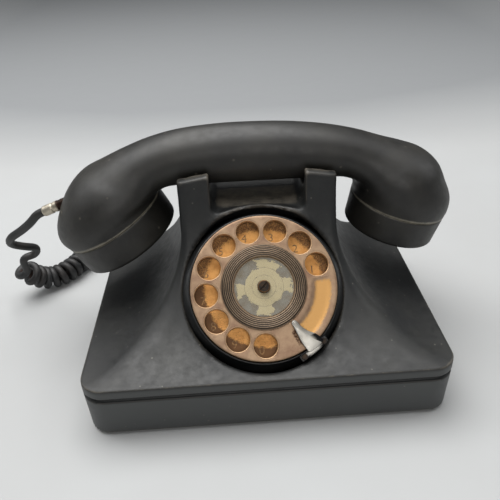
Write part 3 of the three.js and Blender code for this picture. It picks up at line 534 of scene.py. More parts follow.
def coil_points(radius, pitch):
    """A helix of even pitch about the coil's route: route point plus radius times
    (cos turn * sideways + sin turn * upward), where the two directions are square to the route."""
    route = spline(COIL_ROUTE, 600)
    length = np.linalg.norm(np.diff(route, axis=0), axis=1).sum()
    count = int(length / pitch * POINTS_A_TURN)
    axis = spline(COIL_ROUTE, count)
    tangent = np.gradient(axis, axis=0)
    tangent /= np.linalg.norm(tangent, axis=1, keepdims=True)
    sideways = np.cross(tangent, [0.55, -0.35, 0.75])
    sideways /= np.linalg.norm(sideways, axis=1, keepdims=True)
    upward = np.cross(sideways, tangent)
    along = np.linspace(0, length, count)
    spread = pitch * (1 + (LOOSE_PITCH - 1) * step_between(LOOSE_LENGTH, 0, along))
    turn = COIL_START - 2 * pi * np.cumsum(length / (count - 1) / spread)
    reach = radius * (1 - 0.45 * step_between(length - 14, length, along))
    return axis + reach[:, None] * (np.cos(turn)[:, None] * sideways + np.sin(turn)[:, None] * upward)


def cord_path(radius, pitch):
    """The whole cord from the grommet to the handset as one even curve: tail, coil, loose lead."""
    coil = coil_points(radius, pitch)
    coil = coil[COIL_TRIM_FRONT:-COIL_TRIM_END:2]
    path = spline(np.concatenate([LEAD_ROUTE[:-1], coil, TAIL_ROUTE]), CORD_POINTS)[::-1]
    for _ in range(CORD_SMOOTHING):
        path[1:-1] = (path[:-2] + 2 * path[1:-1] + path[2:]) / 4
    return path


def make_cord(sizes):
    """A round tube along the path; brown gathers where its skin faces the middle of the coil, the
    middle being the path averaged over about one turn."""
    thickness = sizes.cord_thickness / MM
    path = cord_path(sizes.coil_radius / MM, sizes.coil_pitch / MM)
    shell = tube(path, thickness / 2, CORD_SIDES)
    half = 13
    turn = np.ones(2 * half + 1) / (2 * half + 1)
    middle = np.stack([np.convolve(np.pad(c, half, mode="edge"), turn, mode="valid") for c in path.T], 1)
    inward = np.repeat(np.concatenate([middle[:1], middle, middle[-1:]]), CORD_SIDES, axis=0) - shell[0]
    centre = np.repeat(np.concatenate([path[:1], path, path[-1:]]), CORD_SIDES, axis=0)
    inner = step_between(0.2, 0.9, ((shell[0] - centre) * inward).sum(1) / (thickness * 2.2))
    cord = finish_piece("handset_cord", [shell], None, MATERIALS["cord"],
                        ("cord_lead", "cord_curly", "cord_tail"), 80, {"inner": inner})
    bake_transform(cord)
    return cord, path * MM


def make_ferrule():
    """Clamp turned about its own axis: a collar at the handset, two crimped bands and a lip."""
    profile = rounded([
        (1, -3.4), (2.9, -3.4), (3.05, -0.4), (2.85, 0), (2.85, 1.6), (3.1, 2), (3.1, 4.4), (2.8, 4.9),
        (2.8, 5.6), (3.1, 6.1), (3.1, 11), (2.75, 12), (1, 12)], 0.25, closed=True)
    points, quads = turned(profile, 48, True)
    angle = np.arctan2(points[:, 1], points[:, 0])
    nick = np.exp(-((points[:, 2] - 7.6) / 0.7) ** 2 - ((angle - 0.9) / 0.3) ** 2)
    nick = nick * (np.hypot(*points[:, :2].T) > 2)
    points[:, :2] *= (1 - 0.35 * nick)[:, None]
    brown = step_between(3.2, 1.6, points[:, 2]) + nick
    side = np.array([0.0, -1, 0])
    other = np.cross(FERRULE_AXIS, side)
    placed = FERRULE_BASE + points[:, :1] * side + points[:, 1:2] * other + points[:, 2:] * FERRULE_AXIS
    return finish_piece("cord_ferrule_detail", [(placed, quads)], "handset", MATERIALS["ferrule"],
                        ("cord_ferrule",), 35, {"brown": brown})


def make_grommet(name, node, x, sticks_out):
    """Rubber bush turned about the exit's axis: a flange inside, a waist in the wall and a tapered collar."""
    profile = rounded([
        (2.6, -6.6), (6.8, -6.6), (6.8, -4.4), (4.9, -4.2), (4.9, 0.3), (6.6, 0.3), (6.4, 1.5),
        (5.2, sticks_out - 0.4), (4.4, sticks_out), (2.6, sticks_out)], 0.4, closed=True)
    points, quads = turned(profile, 48, True)
    place = np.array([x, EXIT[1], EXIT[2]])
    turned_points = place + np.stack([points[:, 0], points[:, 2], -points[:, 1]], axis=1)
    return finish_piece(name, [(turned_points, quads)], "base", MATERIALS["rubber"], (node,))


# ------------------------------------------------------------------ housing
RIM_HALF_WIDTH, RIM_HALF_DEPTH, RIM_Z = 96.7, 77.5, 32.3
POST_HALF_WIDTH, POST_FRONT_Y, POST_BACK_Y, POST_INNER_X = 42.8, -9.2, 41, 25.7
WALL, SEAT_Z, CAVITY_TOP_Z, SKIRT_BOTTOM_Z = 3.2, 99.4, 86, 1.5
SKIRT_Z = (1.5, 24.2, 24.8, 26.4, 27, 30.7, 31.1, 31.5)
SKIRT_INSET = (1.3, 0.3, 1.7, 1.7, 0.2, 0.2, 0.5, 0)
RIM_ROUND, RIM_CORNER = 1.3, 13
TABLE_STEP = 0.3


def outline(post, reach, height, fall, rise):
    """Profile of one side: straight post, then the concave flare post + reach*s at
    height*(1 - s^(1/fall))^(1/rise), carried level past the rim."""
    s = np.concatenate([np.linspace(0, 0.1, 24), np.linspace(0.11, 1, 90)])
    flare = np.stack([post + reach * s, RIM_Z + height * (1 - s ** (1 / fall)) ** (1 / rise)], axis=1)
    return np.concatenate([[(post, 130)], flare, [(post + reach + 20, RIM_Z), (post + reach + 20, -14)]])


def polygon_distance(p, q, polygon):
    """Signed distance from points (p, q) to a closed polygon: the least distance to its edges,
    negative where an odd number of edges lies to the right."""
    best = np.full(p.shape, 1e9)
    inside = np.zeros(p.shape, bool)
    for (ax, az), (bx, bz) in zip(polygon, np.roll(polygon, -1, axis=0)):
        ex, ez = bx - ax, bz - az
        t = np.clip(((p - ax) * ex + (q - az) * ez) / (ex * ex + ez * ez + 1e-12), 0, 1)
        best = np.minimum(best, (p - ax - t * ex) ** 2 + (q - az - t * ez) ** 2)
        if az != bz:
            inside ^= ((az > q) != (bz > q)) & (p < ex * (q - az) / (bz - az) + ax)
    return np.sqrt(best) * np.where(inside, -1, 1)


def distance_table(polygon, low, high):
    """Signed distances to a polygon on an even grid, for quick look-up."""
    p = np.arange(low[0], high[0] + TABLE_STEP, TABLE_STEP)
    q = np.arange(low[1], high[1] + TABLE_STEP, TABLE_STEP)
    return polygon_distance(*np.meshgrid(p, q, indexing="ij"), polygon), low


def look_up(table, p, q):
    """Value of a table between its grid points, weighted by nearness in both directions."""
    values, low = table
    i = np.clip((p - low[0]) / TABLE_STEP, 0, values.shape[0] - 1.001)
    j = np.clip((q - low[1]) / TABLE_STEP, 0, values.shape[1] - 1.001)
    i0, j0 = i.astype(int), j.astype(int)
    u, v = i - i0, j - j0
    near = values[i0, j0] * (1 - v) + values[i0, j0 + 1] * v
    far = values[i0 + 1, j0] * (1 - v) + values[i0 + 1, j0 + 1] * v
    return near * (1 - u) + far * u


def meet(a, b, radius):
    """Common part of two shapes with its edge rounded to a radius."""
    rounding = np.hypot(np.maximum(radius + a, 0), np.maximum(radius + b, 0))
    return np.minimum(-radius, np.maximum(a, b)) + rounding


def housing_tables():
    """Distance tables of the side and front outlines and of the round seat of the dial."""
    side = outline(POST_HALF_WIDTH, RIM_HALF_WIDTH - POST_HALF_WIDTH, 50, 1.55, 0.5)
    side = np.concatenate([side, [(-20, -14), (-20, 130)]])
    front = outline(-POST_FRONT_Y, RIM_HALF_DEPTH + POST_FRONT_Y, 79.7, 1.83, 0.7)
    back = outline(POST_BACK_Y, RIM_HALF_DEPTH - POST_BACK_Y, 79.7, 1.83, 0.7)
    depth = np.concatenate([back, (front * [-1, 1])[::-1]])
    seat = np.array([(0, -30), (43.4, -30), (43.4, -12), (44.0, -4), (46.5, 12), (-10, 12), (-10, -30)], float)
    return (
        distance_table(side, (-3, -3), (102, 122)),
        distance_table(depth, (-84, -3), (84, 122)),
        distance_table(seat, (-2, -48), (90, 60)),
    )


RIDGE_Z = (32.4, 36, 44, 58, 80)
RIDGE_ROUND = (0.8, 3.4, 6.0, 4.8, 3.5)


def housing_field(tables, x, y, z):
    """Signed distance to the housing, negative in its wall. Outside: the two flared outlines meet
    with corners that grow rounder downwards, cut by the sloping horn tops, the handle channel and
    the saddle notch. Inside: the same shape a wall thinner, with four bosses."""
    side_table, depth_table, seat_table = tables
    ax = np.abs(x)
    side, depth = look_up(side_table, ax, z), look_up(depth_table, y, z)
    ridge = np.interp(z, RIDGE_Z, RIDGE_ROUND)
    skirt = meet(ax - RIM_HALF_WIDTH, np.abs(y) - RIM_HALF_DEPTH, RIM_CORNER)
    skirt = skirt + np.interp(z, SKIRT_Z, SKIRT_INSET)
    outer = meet(meet(side, depth, ridge), skirt, RIM_ROUND)
    hollow = np.maximum(outer + WALL, z - CAVITY_TOP_Z)
    local_y = (y - DIAL_CENTRE[1]) * DIAL_UP[1] + (z - DIAL_CENTRE[2]) * DIAL_UP[2]
    local_z = (y - DIAL_CENTRE[1]) * DIAL_OUT[1] + (z - DIAL_CENTRE[2]) * DIAL_OUT[2]
    from_axis = np.hypot(x, local_y)
    hood = meet(meet(from_axis - 46.2, local_z + 3, 1.2), 33 - local_y, 8)
    top = (z - 114.2 + (ax - POST_INNER_X) * 0.1637 + 0.9 * ((y - 15.9) / 25) ** 2) * 0.985
    body = meet(outer, top, 1.3)
    channel = meet(np.abs(y - HANDLE_Y) - 18.2, SEAT_Z - z, 12)
    body = meet(body, -channel, 0.9)
    saddle = 94.3 - np.where(y < 15.9, 2.5, 6) * np.minimum(np.abs((y - 15.9) / 29), 1.25) ** 2.6
    notch = meet(ax - POST_INNER_X, (saddle - z) * 0.94, 4.5)
    body = meet(body, -notch, 1.1)
    body = -meet(-body, -np.maximum(np.maximum(hood, z - 96.2), 72 - z), 2.5)
    body = meet(body, SKIRT_BOTTOM_Z - z, 0.5)
    body = np.maximum(body, -hollow)
    boss = np.hypot(ax - 80, np.abs(y) - 61)
    pillar = np.maximum(np.maximum(boss - 6, 4 - z), outer)
    body = np.minimum(body, pillar)
    body = np.maximum(body, -np.maximum(boss - 1.7, z - 16))
    body = meet(body, -look_up(seat_table, from_axis, local_z), 0.9)
    bore = np.maximum(np.hypot(ax - 34.2, y - HANDLE_Y) - 3.3, 78 - z)
    body = meet(body, -bore, 0.3)
    for hole_x in (EXIT[0], 40):
        hole = np.maximum(np.hypot(x - hole_x, z - EXIT[2]) - 5.2, 65 - y)
        body = meet(body, -hole, 0.3)
    return body


def surface_net(field, axes):
    """Closed quads around the negative cells of a sampled field: one point a cell at the mean of
    its edge crossings, one quad for each crossed grid edge."""
    inside = field < 0
    cells = tuple(n - 1 for n in field.shape)
    total, count = np.zeros((*cells, 3)), np.zeros(cells)
    grids = np.meshgrid(*axes, indexing="ij")
    crossings = []
    for axis in range(3):
        low = tuple(slice(0, -1) if a == axis else slice(None) for a in range(3))
        high = tuple(slice(1, None) if a == axis else slice(None) for a in range(3))
        crossed = inside[low] != inside[high]
        t = np.where(crossed, field[low] / np.where(crossed, field[low] - field[high], 1), 0)
        place = np.stack([g[low] + (t * (g[high] - g[low]) if a == axis else 0) for a, g in enumerate(grids)], -1)
        place = place * crossed[..., None]
        others = [a for a in range(3) if a != axis]
        for first in (0, 1):
            for second in (0, 1):
                part = [slice(None)] * 3
                part[others[0]] = slice(first, first + cells[others[0]])
                part[others[1]] = slice(second, second + cells[others[1]])
                total += place[tuple(part)]
                count += crossed[tuple(part)]
        crossings.append(crossed)
    active = count > 0
    index = np.full(cells, -1)
    index[active] = np.arange(active.sum())
    points = total[active] / count[active][:, None]
    quads = []
    for axis in range(3):
        b, c = (axis + 1) % 3, (axis + 2) % 3
        at = np.argwhere(crossings[axis])
        at = at[(at[:, b] > 0) & (at[:, c] > 0) & (at[:, b] < cells[b]) & (at[:, c] < cells[c])]
        corners = []
        for back_b, back_c in ((1, 1), (0, 1), (0, 0), (1, 0)):
            cell = at.copy()
            cell[:, b] -= back_b
            cell[:, c] -= back_c
            corners.append(index[tuple(cell.T)])
        quad = np.stack(corners, axis=1)
        outward = inside[tuple(at.T)]
        quads.append(np.where(outward[:, None], quad, quad[:, ::-1]))
    return points, np.concatenate(quads)


def graded(low, high, coarse, fine_spans, fine):
    """Grid lines from low to high at a coarse step, with a fine step inside the given spans."""
    lines = [low]
    while lines[-1] < high:
        near = any(a <= lines[-1] < b for a, b in fine_spans)
        lines.append(lines[-1] + (fine if near else coarse))
    return np.array(lines)


def make_housing():
    """The housing: a surface net of its field, drawn onto the zero level in three steps along the slope;
    wear follows the convex bend, the sum of the field about a point less six times its value."""
    tables = housing_tables()
    step = 1.45
    x = graded(0, 99, step, [(23.5, 27.5), (41, 44.5)], 0.9)
    x = np.concatenate([-x[:0:-1], x])
    axes = (x, graded(-79.5, 79, step, [(-11, -7.5), (39, 42.5)], 0.9),
            graded(-0.6, 117, step, [(23.6, 33.4)], 0.5))
    field = housing_field(tables, *np.meshgrid(*axes, indexing="ij"))
    points, quads = surface_net(field, axes)
    for _ in range(3):
        slope, value = field_slope(tables, points, 0.12)
        points = points - np.clip(value / np.maximum((slope ** 2).sum(1), 0.2), -0.7, 0.7)[:, None] * slope
    bend = -6 * housing_field(tables, *points.T)
    for axis in np.eye(3) * 1.1:
        bend = bend + housing_field(tables, *(points + axis).T) + housing_field(tables, *(points - axis).T)
    x, y, z = points.T
    horn_top = step_between(110.6, 111.8, z)
    horn_inside = step_between(1.5, 0.5, np.abs(np.abs(x) - POST_INNER_X)) * step_between(94, 97, z) * 0.35
    saddle = step_between(25, 21, np.abs(x)) * step_between(88, 91, z)
    # Painted highlight: a lighter band across the front of the saddle, added below to the wear of convex edges
    # and horn tops.
    saddle_highlight = saddle * step_between(-9, -4, y) * (y < 16) * 0.56
    worn = step_between(0.55, 1.6, bend) * 0.42 * (z > 20) + horn_top * 0.55 + horn_inside + saddle_highlight
    # Painted shade: the side scoops, the face round the dial, the posts under the handset and the skirt groove
    # are painted darker where shade falls on them.
    painted_shade = step_between(0.55, 0.8, np.abs(x) / 77 - 0.3 * np.abs(y) / 77) * step_between(30, 38, z) * 0.5
    from_dial = np.hypot(x, (y - DIAL_CENTRE[1]) * 1.2 + 0.3 * (z - DIAL_CENTRE[2]))
    dial_surround_shade = step_between(62, 47, from_dial) * 0.45
    post_shade = step_between(60, 84, z) * step_between(0, -8, y) * 0.62
    groove_shade = step_between(1.7, 1.1, np.abs(z - 25.6)) * 0.8
    # The skirt below the rim is painted lighter, as dust and as painted light bounced up from the floor; the
    # groove is kept out of it.
    finish_piece("housing_shell", [(points, quads)], "base", MATERIALS["bakelite"],
                 ("housing",), 60, {"worn": worn, "painted_shade": np.max([painted_shade, dial_surround_shade, post_shade, groove_shade], axis=0),
                                    "dust_and_floor_light": step_between(33, 30, z) * 0.65 - groove_shade})


def field_slope(tables, points, step):
    """Slope of the housing field by differences over a small step each way, and its value."""
    slope = np.stack([
        housing_field(tables, *(points + axis).T) - housing_field(tables, *(points - axis).T)
        for axis in np.eye(3) * step], axis=1) / (2 * step)
    return slope, housing_field(tables, *points.T)


# ------------------------------------------------------------------ base
def make_base():
    """Feet turned from a domed profile, and the plungers with rounded tops."""
    foot = turned(rounded([(0, 0.0), (6.8, 0.0), (8.6, 0.5), (9, 1.2), (9, 1.7), (0, 1.7)], 0.4), 64)
    for i, (x, y) in enumerate(((-66, -50), (66, -50), (66, 50), (-66, 50))):
        points = foot[0] + [x, y, 0]
        finish_piece(f"foot_pad_{i + 1}", [(points, foot[1])], "base", MATERIALS["rubber"],
                     (f"foot_{i + 1}",))
    plunger = turned(rounded([(0, 80.4), (3, 80.4), (3, 99.4), (2.1, 100.3), (0, 100.4)], 0.7), 40)
    for name, x in (("plunger_left", -34.2), ("plunger_right", 34.2)):
        finish_piece(name + "_pin", [(plunger[0] + [x, HANDLE_Y, 0], plunger[1])], name, MATERIALS["enamel"],
                     (name,))
    carry("enamel", "base_plate")
    carry("steel", "base_screw_1", "base_screw_2", "base_screw_3", "base_screw_4")
    make_grommet("line_grommet_bush", "line_grommet", 40, 1.8)


# ------------------------------------------------------------------ dial
HOLE_COUNT, HOLE_FIRST, HOLE_STEP, HOLE_PITCH_R, HOLE_R = 10, 20, 27.54, 30.4, 6.15
WHEEL_R, WHEEL_INNER_R, WHEEL_THICKNESS = 38.5, 22.8, 3
STOP_ANGLE = -55


def make_dial_surround():
    """Collar around the wheel and the number plate behind it, both turned about the dial's axis."""
    collar = rounded([(39.8, -2.5), (43.5, -12), (43.5, -15), (33, -15), (33, -7.2), (38.9, -7.2), (38.9, -2.5)],
                     0.5, closed=True)
    finish_piece("dial_collar_ring", [on_dial(turned(collar, 144, True))], "base", MATERIALS["enamel"],
                 ("dial_collar",))
    r = np.concatenate([[22.6], np.linspace(22.7, 38.4, 40), [38.5, 38.5, 22.6]])
    z = np.concatenate([[-6.1], np.full(40, -6.0), [-6.1, -6.9, -6.9]])
    plate = turned(np.stack([r, z], 1), 220, True)
    radius = np.hypot(*plate[0][:, :2].T)
    angle = np.arctan2(plate[0][:, 1], plate[0][:, 0])
    # Tarnish and painted shade: darker towards the plate's rim, under the wheel's rim, and a little darker to the
    # lower left.
    tarnish_and_shade = step_between(29.6, 33.2, radius + 0.9 * ripple(*plate[0][:, :2].T, 5, 6)) * 0.85
    low_left = step_between(0.1, 0.9, -np.cos(angle - radians(60)))
    tarnish_and_shade = np.clip(tarnish_and_shade * (0.75 + 0.1 * low_left) + 0.28 * low_left, 0, 1)
    finish_piece("number_plate_sheet", [on_dial(plate)], "base", MATERIALS["plate"],
                 ("number_plate",), fields={"tarnish_and_shade": tarnish_and_shade})
    make_numerals()
    carry("steel", "dial_frame", "dial_screw_1", "dial_screw_2", "dial_screw_3")
    carry("dark_steel", "finger_stop_screw_1", "finger_stop_screw_2")
    carry("brass", "pulse_contacts", "governor_cup", "governor_shaft", "pinion_shaft", "main_gear")
    carry("steel", "spring_barrel", "dial_shaft")


def make_numerals():
    """Rubbed numerals on the number plate, one for each finger hole, set upright towards the rim."""
    parts = []
    for i in range(HOLE_COUNT):
        angle = radians(HOLE_FIRST + HOLE_STEP * i)
        curve = bpy.data.curves.new("numeral", "FONT")
        curve.body = str((i + 1) % 10)
        curve.size, curve.extrude, curve.align_x, curve.align_y = 6.2, 0.04, "CENTER", "CENTER"
        text = bpy.data.objects.new("numeral", curve)
        bpy.context.collection.objects.link(text)
        mesh = bpy.data.meshes.new_from_object(text)
        bpy.data.objects.remove(text)
        spot = np.array([cos(angle), sin(angle)]) * HOLE_PITCH_R + [-2.0, -2.2]
        at = np.zeros(len(mesh.vertices) * 3)
        mesh.vertices.foreach_get("co", at)
        at = at.reshape(-1, 3) + [*spot, -5.95]
        parts.append((at, [list(p.vertices) for p in mesh.polygons]))
    mesh = bpy.data.meshes.new("number_plate_numerals")
    points = np.concatenate([p for p, _ in parts])
    starts = np.cumsum([0] + [len(p) for p, _ in parts])
    faces = [[v + s for v in f] for s, (_, fs) in zip(starts, parts) for f in fs]
    placed, _ = on_dial((points, None))
    mesh.from_pydata((placed * MM).tolist(), [], faces)
    piece = bpy.data.objects.new("number_plate_numerals", mesh)
    bpy.context.collection.objects.link(piece)
    mesh.materials.append(MATERIALS["numeral"])
    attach(piece, "base")


EDGE_PROFILE = [
    (0, -0.62), (0.06, -0.34), (0.2, -0.12), (0.4, 0), (0.62, 0), (0.74, -0.1), (0.86, -0.1), (0.98, 0)]


def make_wheel(sizes):
    """Finger wheel: ten cells, each a hole edge profile carried round the hole and then stretched to
    the cell's border, a dished blank sector, and rounded rims inside and out."""
    dish = sizes.dish_depth / MM
    edge_r = WHEEL_R - 0.6
    side, half = 16, radians(HOLE_STEP / 2)
    across = np.linspace(-half, half, side + 1)[:-1]
    radial = np.linspace(WHEEL_INNER_R, edge_r, side + 1)[:-1]
    border = np.concatenate([
        np.stack([across, np.full(side, WHEEL_INNER_R)], 1),
        np.stack([np.full(side, half), radial], 1),
        np.stack([-across, np.full(side, edge_r)], 1),
        np.stack([np.full(side, -half), WHEEL_INNER_R + edge_r - radial], 1)])
    outer = np.stack([border[:, 1] * np.cos(border[:, 0]), border[:, 1] * np.sin(border[:, 0])], 1)
    middle = np.array([HOLE_PITCH_R, 0])
    direction = outer - middle
    gap = np.linalg.norm(direction, axis=1) - HOLE_R
    direction /= np.linalg.norm(direction, axis=1, keepdims=True)
    far = np.linspace(0, 1, 4)[1:]
    rings, heights = [], []
    for offset, height in EDGE_PROFILE:
        rings.append(middle + direction * (HOLE_R + offset))
        heights.append(height)
    last = EDGE_PROFILE[-1][0]
    for share in far:
        rings.append(middle + direction * (HOLE_R + last + (gap - last) * share)[:, None])
        heights.append(0)
    top = rings[::-1]
    cell = np.stack(top + [rings[0], rings[0]] + rings[1:2] + rings[3:4] + rings[-1:])
    under = -WHEEL_THICKNESS
    z = np.array(heights[::-1] + [-1.5, under + 0.3, under + 0.1, under, under])
    shells_points, shells_quads, start = [], [], 0
    flat = np.concatenate([cell, np.broadcast_to(z[:, None, None], (*cell.shape[:2], 1))], axis=2)
    quads = grid_quads(len(cell), 4 * side, False, True)
    for i in range(HOLE_COUNT):
        a = radians(HOLE_FIRST + HOLE_STEP * i)
        turn = np.array([[cos(a), sin(a), 0], [-sin(a), cos(a), 0], [0, 0, 1]])
        shells_points.append(flat.reshape(-1, 3) @ turn)
        shells_quads.append(quads + start)
        start += flat.shape[0] * flat.shape[1]
    blank_from = radians(HOLE_FIRST + HOLE_STEP * (HOLE_COUNT - 0.5))
    blank_to = radians(HOLE_FIRST - HOLE_STEP / 2 + 360)
    blank = np.linspace(blank_from, blank_to, 49)
    radial = np.linspace(WHEEL_INNER_R, edge_r, side + 1)
    a, r = np.meshgrid(blank, radial, indexing="ij")
    ends = step_between(radians(298), radians(310), a) * step_between(radians(368), radians(361), a)
    across_dish = step_between(6.2, 2.6, np.abs(r - HOLE_PITCH_R))
    for height in (-dish * ends * across_dish, np.full(a.shape, -WHEEL_THICKNESS)):
        shells_points.append(np.stack([r * np.cos(a), r * np.sin(a), height], -1).reshape(-1, 3))
        quads = grid_quads(49, side + 1)
        shells_quads.append((quads if height.min() > -2 else quads[:, ::-1])[:, ::-1] + start)
        start += a.size
    around = np.concatenate([
        np.radians(HOLE_FIRST + HOLE_STEP * i) + across for i in range(HOLE_COUNT)] + [blank[:-1]])
    for profile, flip in (
            ([(edge_r, 0), (38.3, -0.18), (38.5, -0.6), (38.5, -2.4), (38.3, -2.82), (edge_r, -3)], False),
            ([(22.8, 0), (22.8, -1), (10, -1), (3.3, -1), (3.3, -3), (10, -3), (22.8, -3)], True)):
        profile = np.array(profile)
        points = np.stack([
            profile[:, :1] * np.cos(around), profile[:, :1] * np.sin(around),
            np.broadcast_to(profile[:, 1:], (len(profile), len(around)))], -1)
        quads = grid_quads(len(profile), len(around), False, True)
        shells_points.append(points.reshape(-1, 3))
        shells_quads.append((quads[:, ::-1] if flip else quads) + start)
        start += points.shape[0] * points.shape[1]
    points, quads = np.concatenate(shells_points), np.concatenate(shells_quads)
    radius = np.hypot(points[:, 0], points[:, 1])
    angle = np.degrees(np.arctan2(points[:, 1], points[:, 0])) % 360
    nearest = np.abs((angle - HOLE_FIRST + HOLE_STEP / 2) % 360 % HOLE_STEP - HOLE_STEP / 2)
    turn = np.where((angle - HOLE_FIRST + HOLE_STEP / 2) % 360 < HOLE_COUNT * HOLE_STEP, nearest, 90)
    to_hole = np.hypot(radius * np.cos(np.radians(turn)) - HOLE_PITCH_R, radius * np.sin(np.radians(turn)))
    # Painted highlight: lighter round the edge of every finger hole and along the outer rim.
    edge = step_between(HOLE_R + 0.75, HOLE_R + 0.2, to_hole) * 0.62 + step_between(37.6, 38.1, radius) * 0.4
    # Painted highlight: a lighter band along the middle of the dished blank sector.
    blank_angle = (angle - 180) % 360
    in_blank = step_between(120, 127, blank_angle) * step_between(187, 181, blank_angle)
    dish_highlight = in_blank * step_between(5.9, 2.9, np.abs(radius - HOLE_PITCH_R - 0.6)) * 0.8
    # Painted shadow: darker at the start of the blank sector, under the finger stop.
    stop_shadow = step_between(136, 124, blank_angle) * (blank_angle > 117)
    stop_shadow = stop_shadow * step_between(5.5, 3.5, np.abs(radius - 31.4)) * 0.62
    points = np.asarray(points)
    finish_piece("finger_wheel_plate", [on_dial((points, quads))], "dial_wheel", MATERIALS["wheel"],
                 ("finger_wheel",), 32, {"dish_highlight": dish_highlight, "edge": edge, "stop_shadow": stop_shadow})


def make_card(sizes):
    """Card ring with concentric grooves, the torn card, its window and the centre screw."""
    pitch = sizes.groove_spacing / MM
    r = np.arange(16.5, 22.0, 0.06)
    wave = 0.5 + 0.5 * np.cos((r - 16.5) / pitch * 2 * pi)
    crown = np.interp(r, [16, 18, 21.2, 22], [0.9, 1.5, 1.5, 1.0])
    height = crown - 0.2 * (1 - wave ** 0.5)
    profile = np.concatenate([[(16, -0.7), (16, 0.4)], np.stack([r, height], 1), [(22.4, 0.7), (22.4, -0.7)]])
    shell = turned(profile, 160, True)
    # Painted shade in each groove and a painted highlight on each crest of the ring.
    groove_shade = np.concatenate([[0, 0], 1 - wave, [0, 0]])
    finish_piece("card_ring_turned", [on_dial(shell)], "dial_wheel", MATERIALS["ring"],
                 ("card_ring",), 50,
                 {"groove_shade": np.repeat(groove_shade * 0.8, 160), "crest_highlight": np.repeat((1 - groove_shade) * 0.55, 160)})
    rings = np.concatenate([[3.4], np.linspace(3.5, 15.55, 90), [15.6, 15.6, 3.4]])
    base = np.concatenate([[-0.45], np.full(90, -0.42), [-0.45, -0.7, -0.7]])
    points, quads = turned(np.stack([rings, base], 1), 260, True)
    x, y = points[:, 0], points[:, 1]
    radius, angle = np.hypot(x, y), np.degrees(np.arctan2(y, x))
    tear = ripple(x, y, 3, 7) * 7 + ripple(x, y, 8, 2.2) * 3.5
    arms = np.zeros(len(points))
    for centre, width in ((77, 29), (2, 17), (-90, 20), (185, 16)):
        away = np.abs((angle - centre + 180) % 360 - 180)
        arms = np.maximum(arms, step_between(width + 3, width - 3, away + tear))
    arms = arms * step_between(14.9, 14.2, radius + 0.25 * tear)
    inner = step_between(10.6, 9.8, radius + 0.12 * tear) * step_between(3.5, 3.9, radius - 0.05 * tear)
    paper = np.maximum(arms, inner * 0.95)
    lines = np.abs(radius - 10.2) < 0.16
    cracks = (np.abs(ripple(x, y, 21, 9)) < 0.03) & (radius < 11)
    ink = np.where(lines | cracks, 0.55, 0.0) + (np.abs(radius - 6.3) < 0.14) * 0.5
    points[:, 2] += np.where(base[0] < points[:, 2] + 0.06, 0.12 * paper, 0)
    finish_piece("number_card_torn", [on_dial((points, quads))], "dial_wheel", MATERIALS["card"],
                 ("number_card",), 40, {"paper": paper, "ink": ink})
    window = rounded([(3.4, 0.02), (15.6, 0.02), (15.6, 0.42), (3.4, 0.5)], 0.1, closed=True)
    finish_piece("card_window_disc", [on_dial(turned(window, 120, True))], "dial_wheel", MATERIALS["celluloid"],
                 ("card_window",))
    r = np.concatenate([np.linspace(0, 2.9, 30), [3.1, 3.25, 3.3, 3.3, 1.2, 1.2, 0]])
    z = np.concatenate([2.2 - 0.1 * np.linspace(0, 1, 30) ** 2, [1.95, 1.75, 1.5, 0.8, 0.8, -6, -6]])
    points, quads = turned(np.stack([r, z], 1), 120)
    across = np.abs(points[:, 0] - points[:, 1]) / 2 ** 0.5
    head = points[:, 2] > 1.2
    points[:, 2] -= np.where(head, 0.75 * step_between(0.52, 0.36, across), 0)
    halo = step_between(2.5, 3.1, np.hypot(points[:, 0], points[:, 1]))
    finish_piece("centre_screw_head", [on_dial((points, quads))], "dial_wheel", MATERIALS["dark_steel"],
                 ("centre_screw",), 40, {"halo": halo})


def plate_shell(border, low, high, edge=0.3):
    """A flat plate with an eased edge: rings of the border drawn in towards its middle, at heights
    that follow a quarter round on both faces."""
    border = np.asarray(border, float)
    middle = border.mean(axis=0)
    along = np.roll(border, -1, axis=0) - np.roll(border, 1, axis=0)
    inward = np.stack([-along[:, 1], along[:, 0]], 1)
    inward /= np.linalg.norm(inward, axis=1, keepdims=True)
    rings, heights = [], []
    for drawn, height in (
            (None, high), (1.0, high), (0.3, high - 0.09), (0, high - 1), (0, low + 1), (0.3, low + 0.09),
            (1.0, low), (None, low)):
        if drawn is None:
            rings.append(np.broadcast_to(middle, border.shape))
        else:
            rings.append(border + inward * edge * drawn)
        face = high if height > (low + high) / 2 else low
        heights.append(face + (height - face) * (edge if abs(height - face) == 1 else 1))
    points = np.concatenate([np.stack(rings), np.broadcast_to(
        np.array(heights)[:, None, None], (len(rings), len(border), 1))], axis=2)
    return points.reshape(-1, 3), grid_quads(len(rings), len(border), False, True)


def box_shell(x, y, z, edge=0.25, count=24):
    """A bar with rounded corners: a superellipse border with an eased edge."""
    angle = np.arange(count) / count * 2 * pi
    border = np.stack([
        (x[0] + x[1]) / 2 + (x[1] - x[0]) / 2 * np.sign(np.cos(angle)) * np.abs(np.cos(angle)) ** 0.25,
        (y[0] + y[1]) / 2 + (y[1] - y[0]) / 2 * np.sign(np.sin(angle)) * np.abs(np.sin(angle)) ** 0.25], 1)
    return plate_shell(border, z[0], z[1], edge)


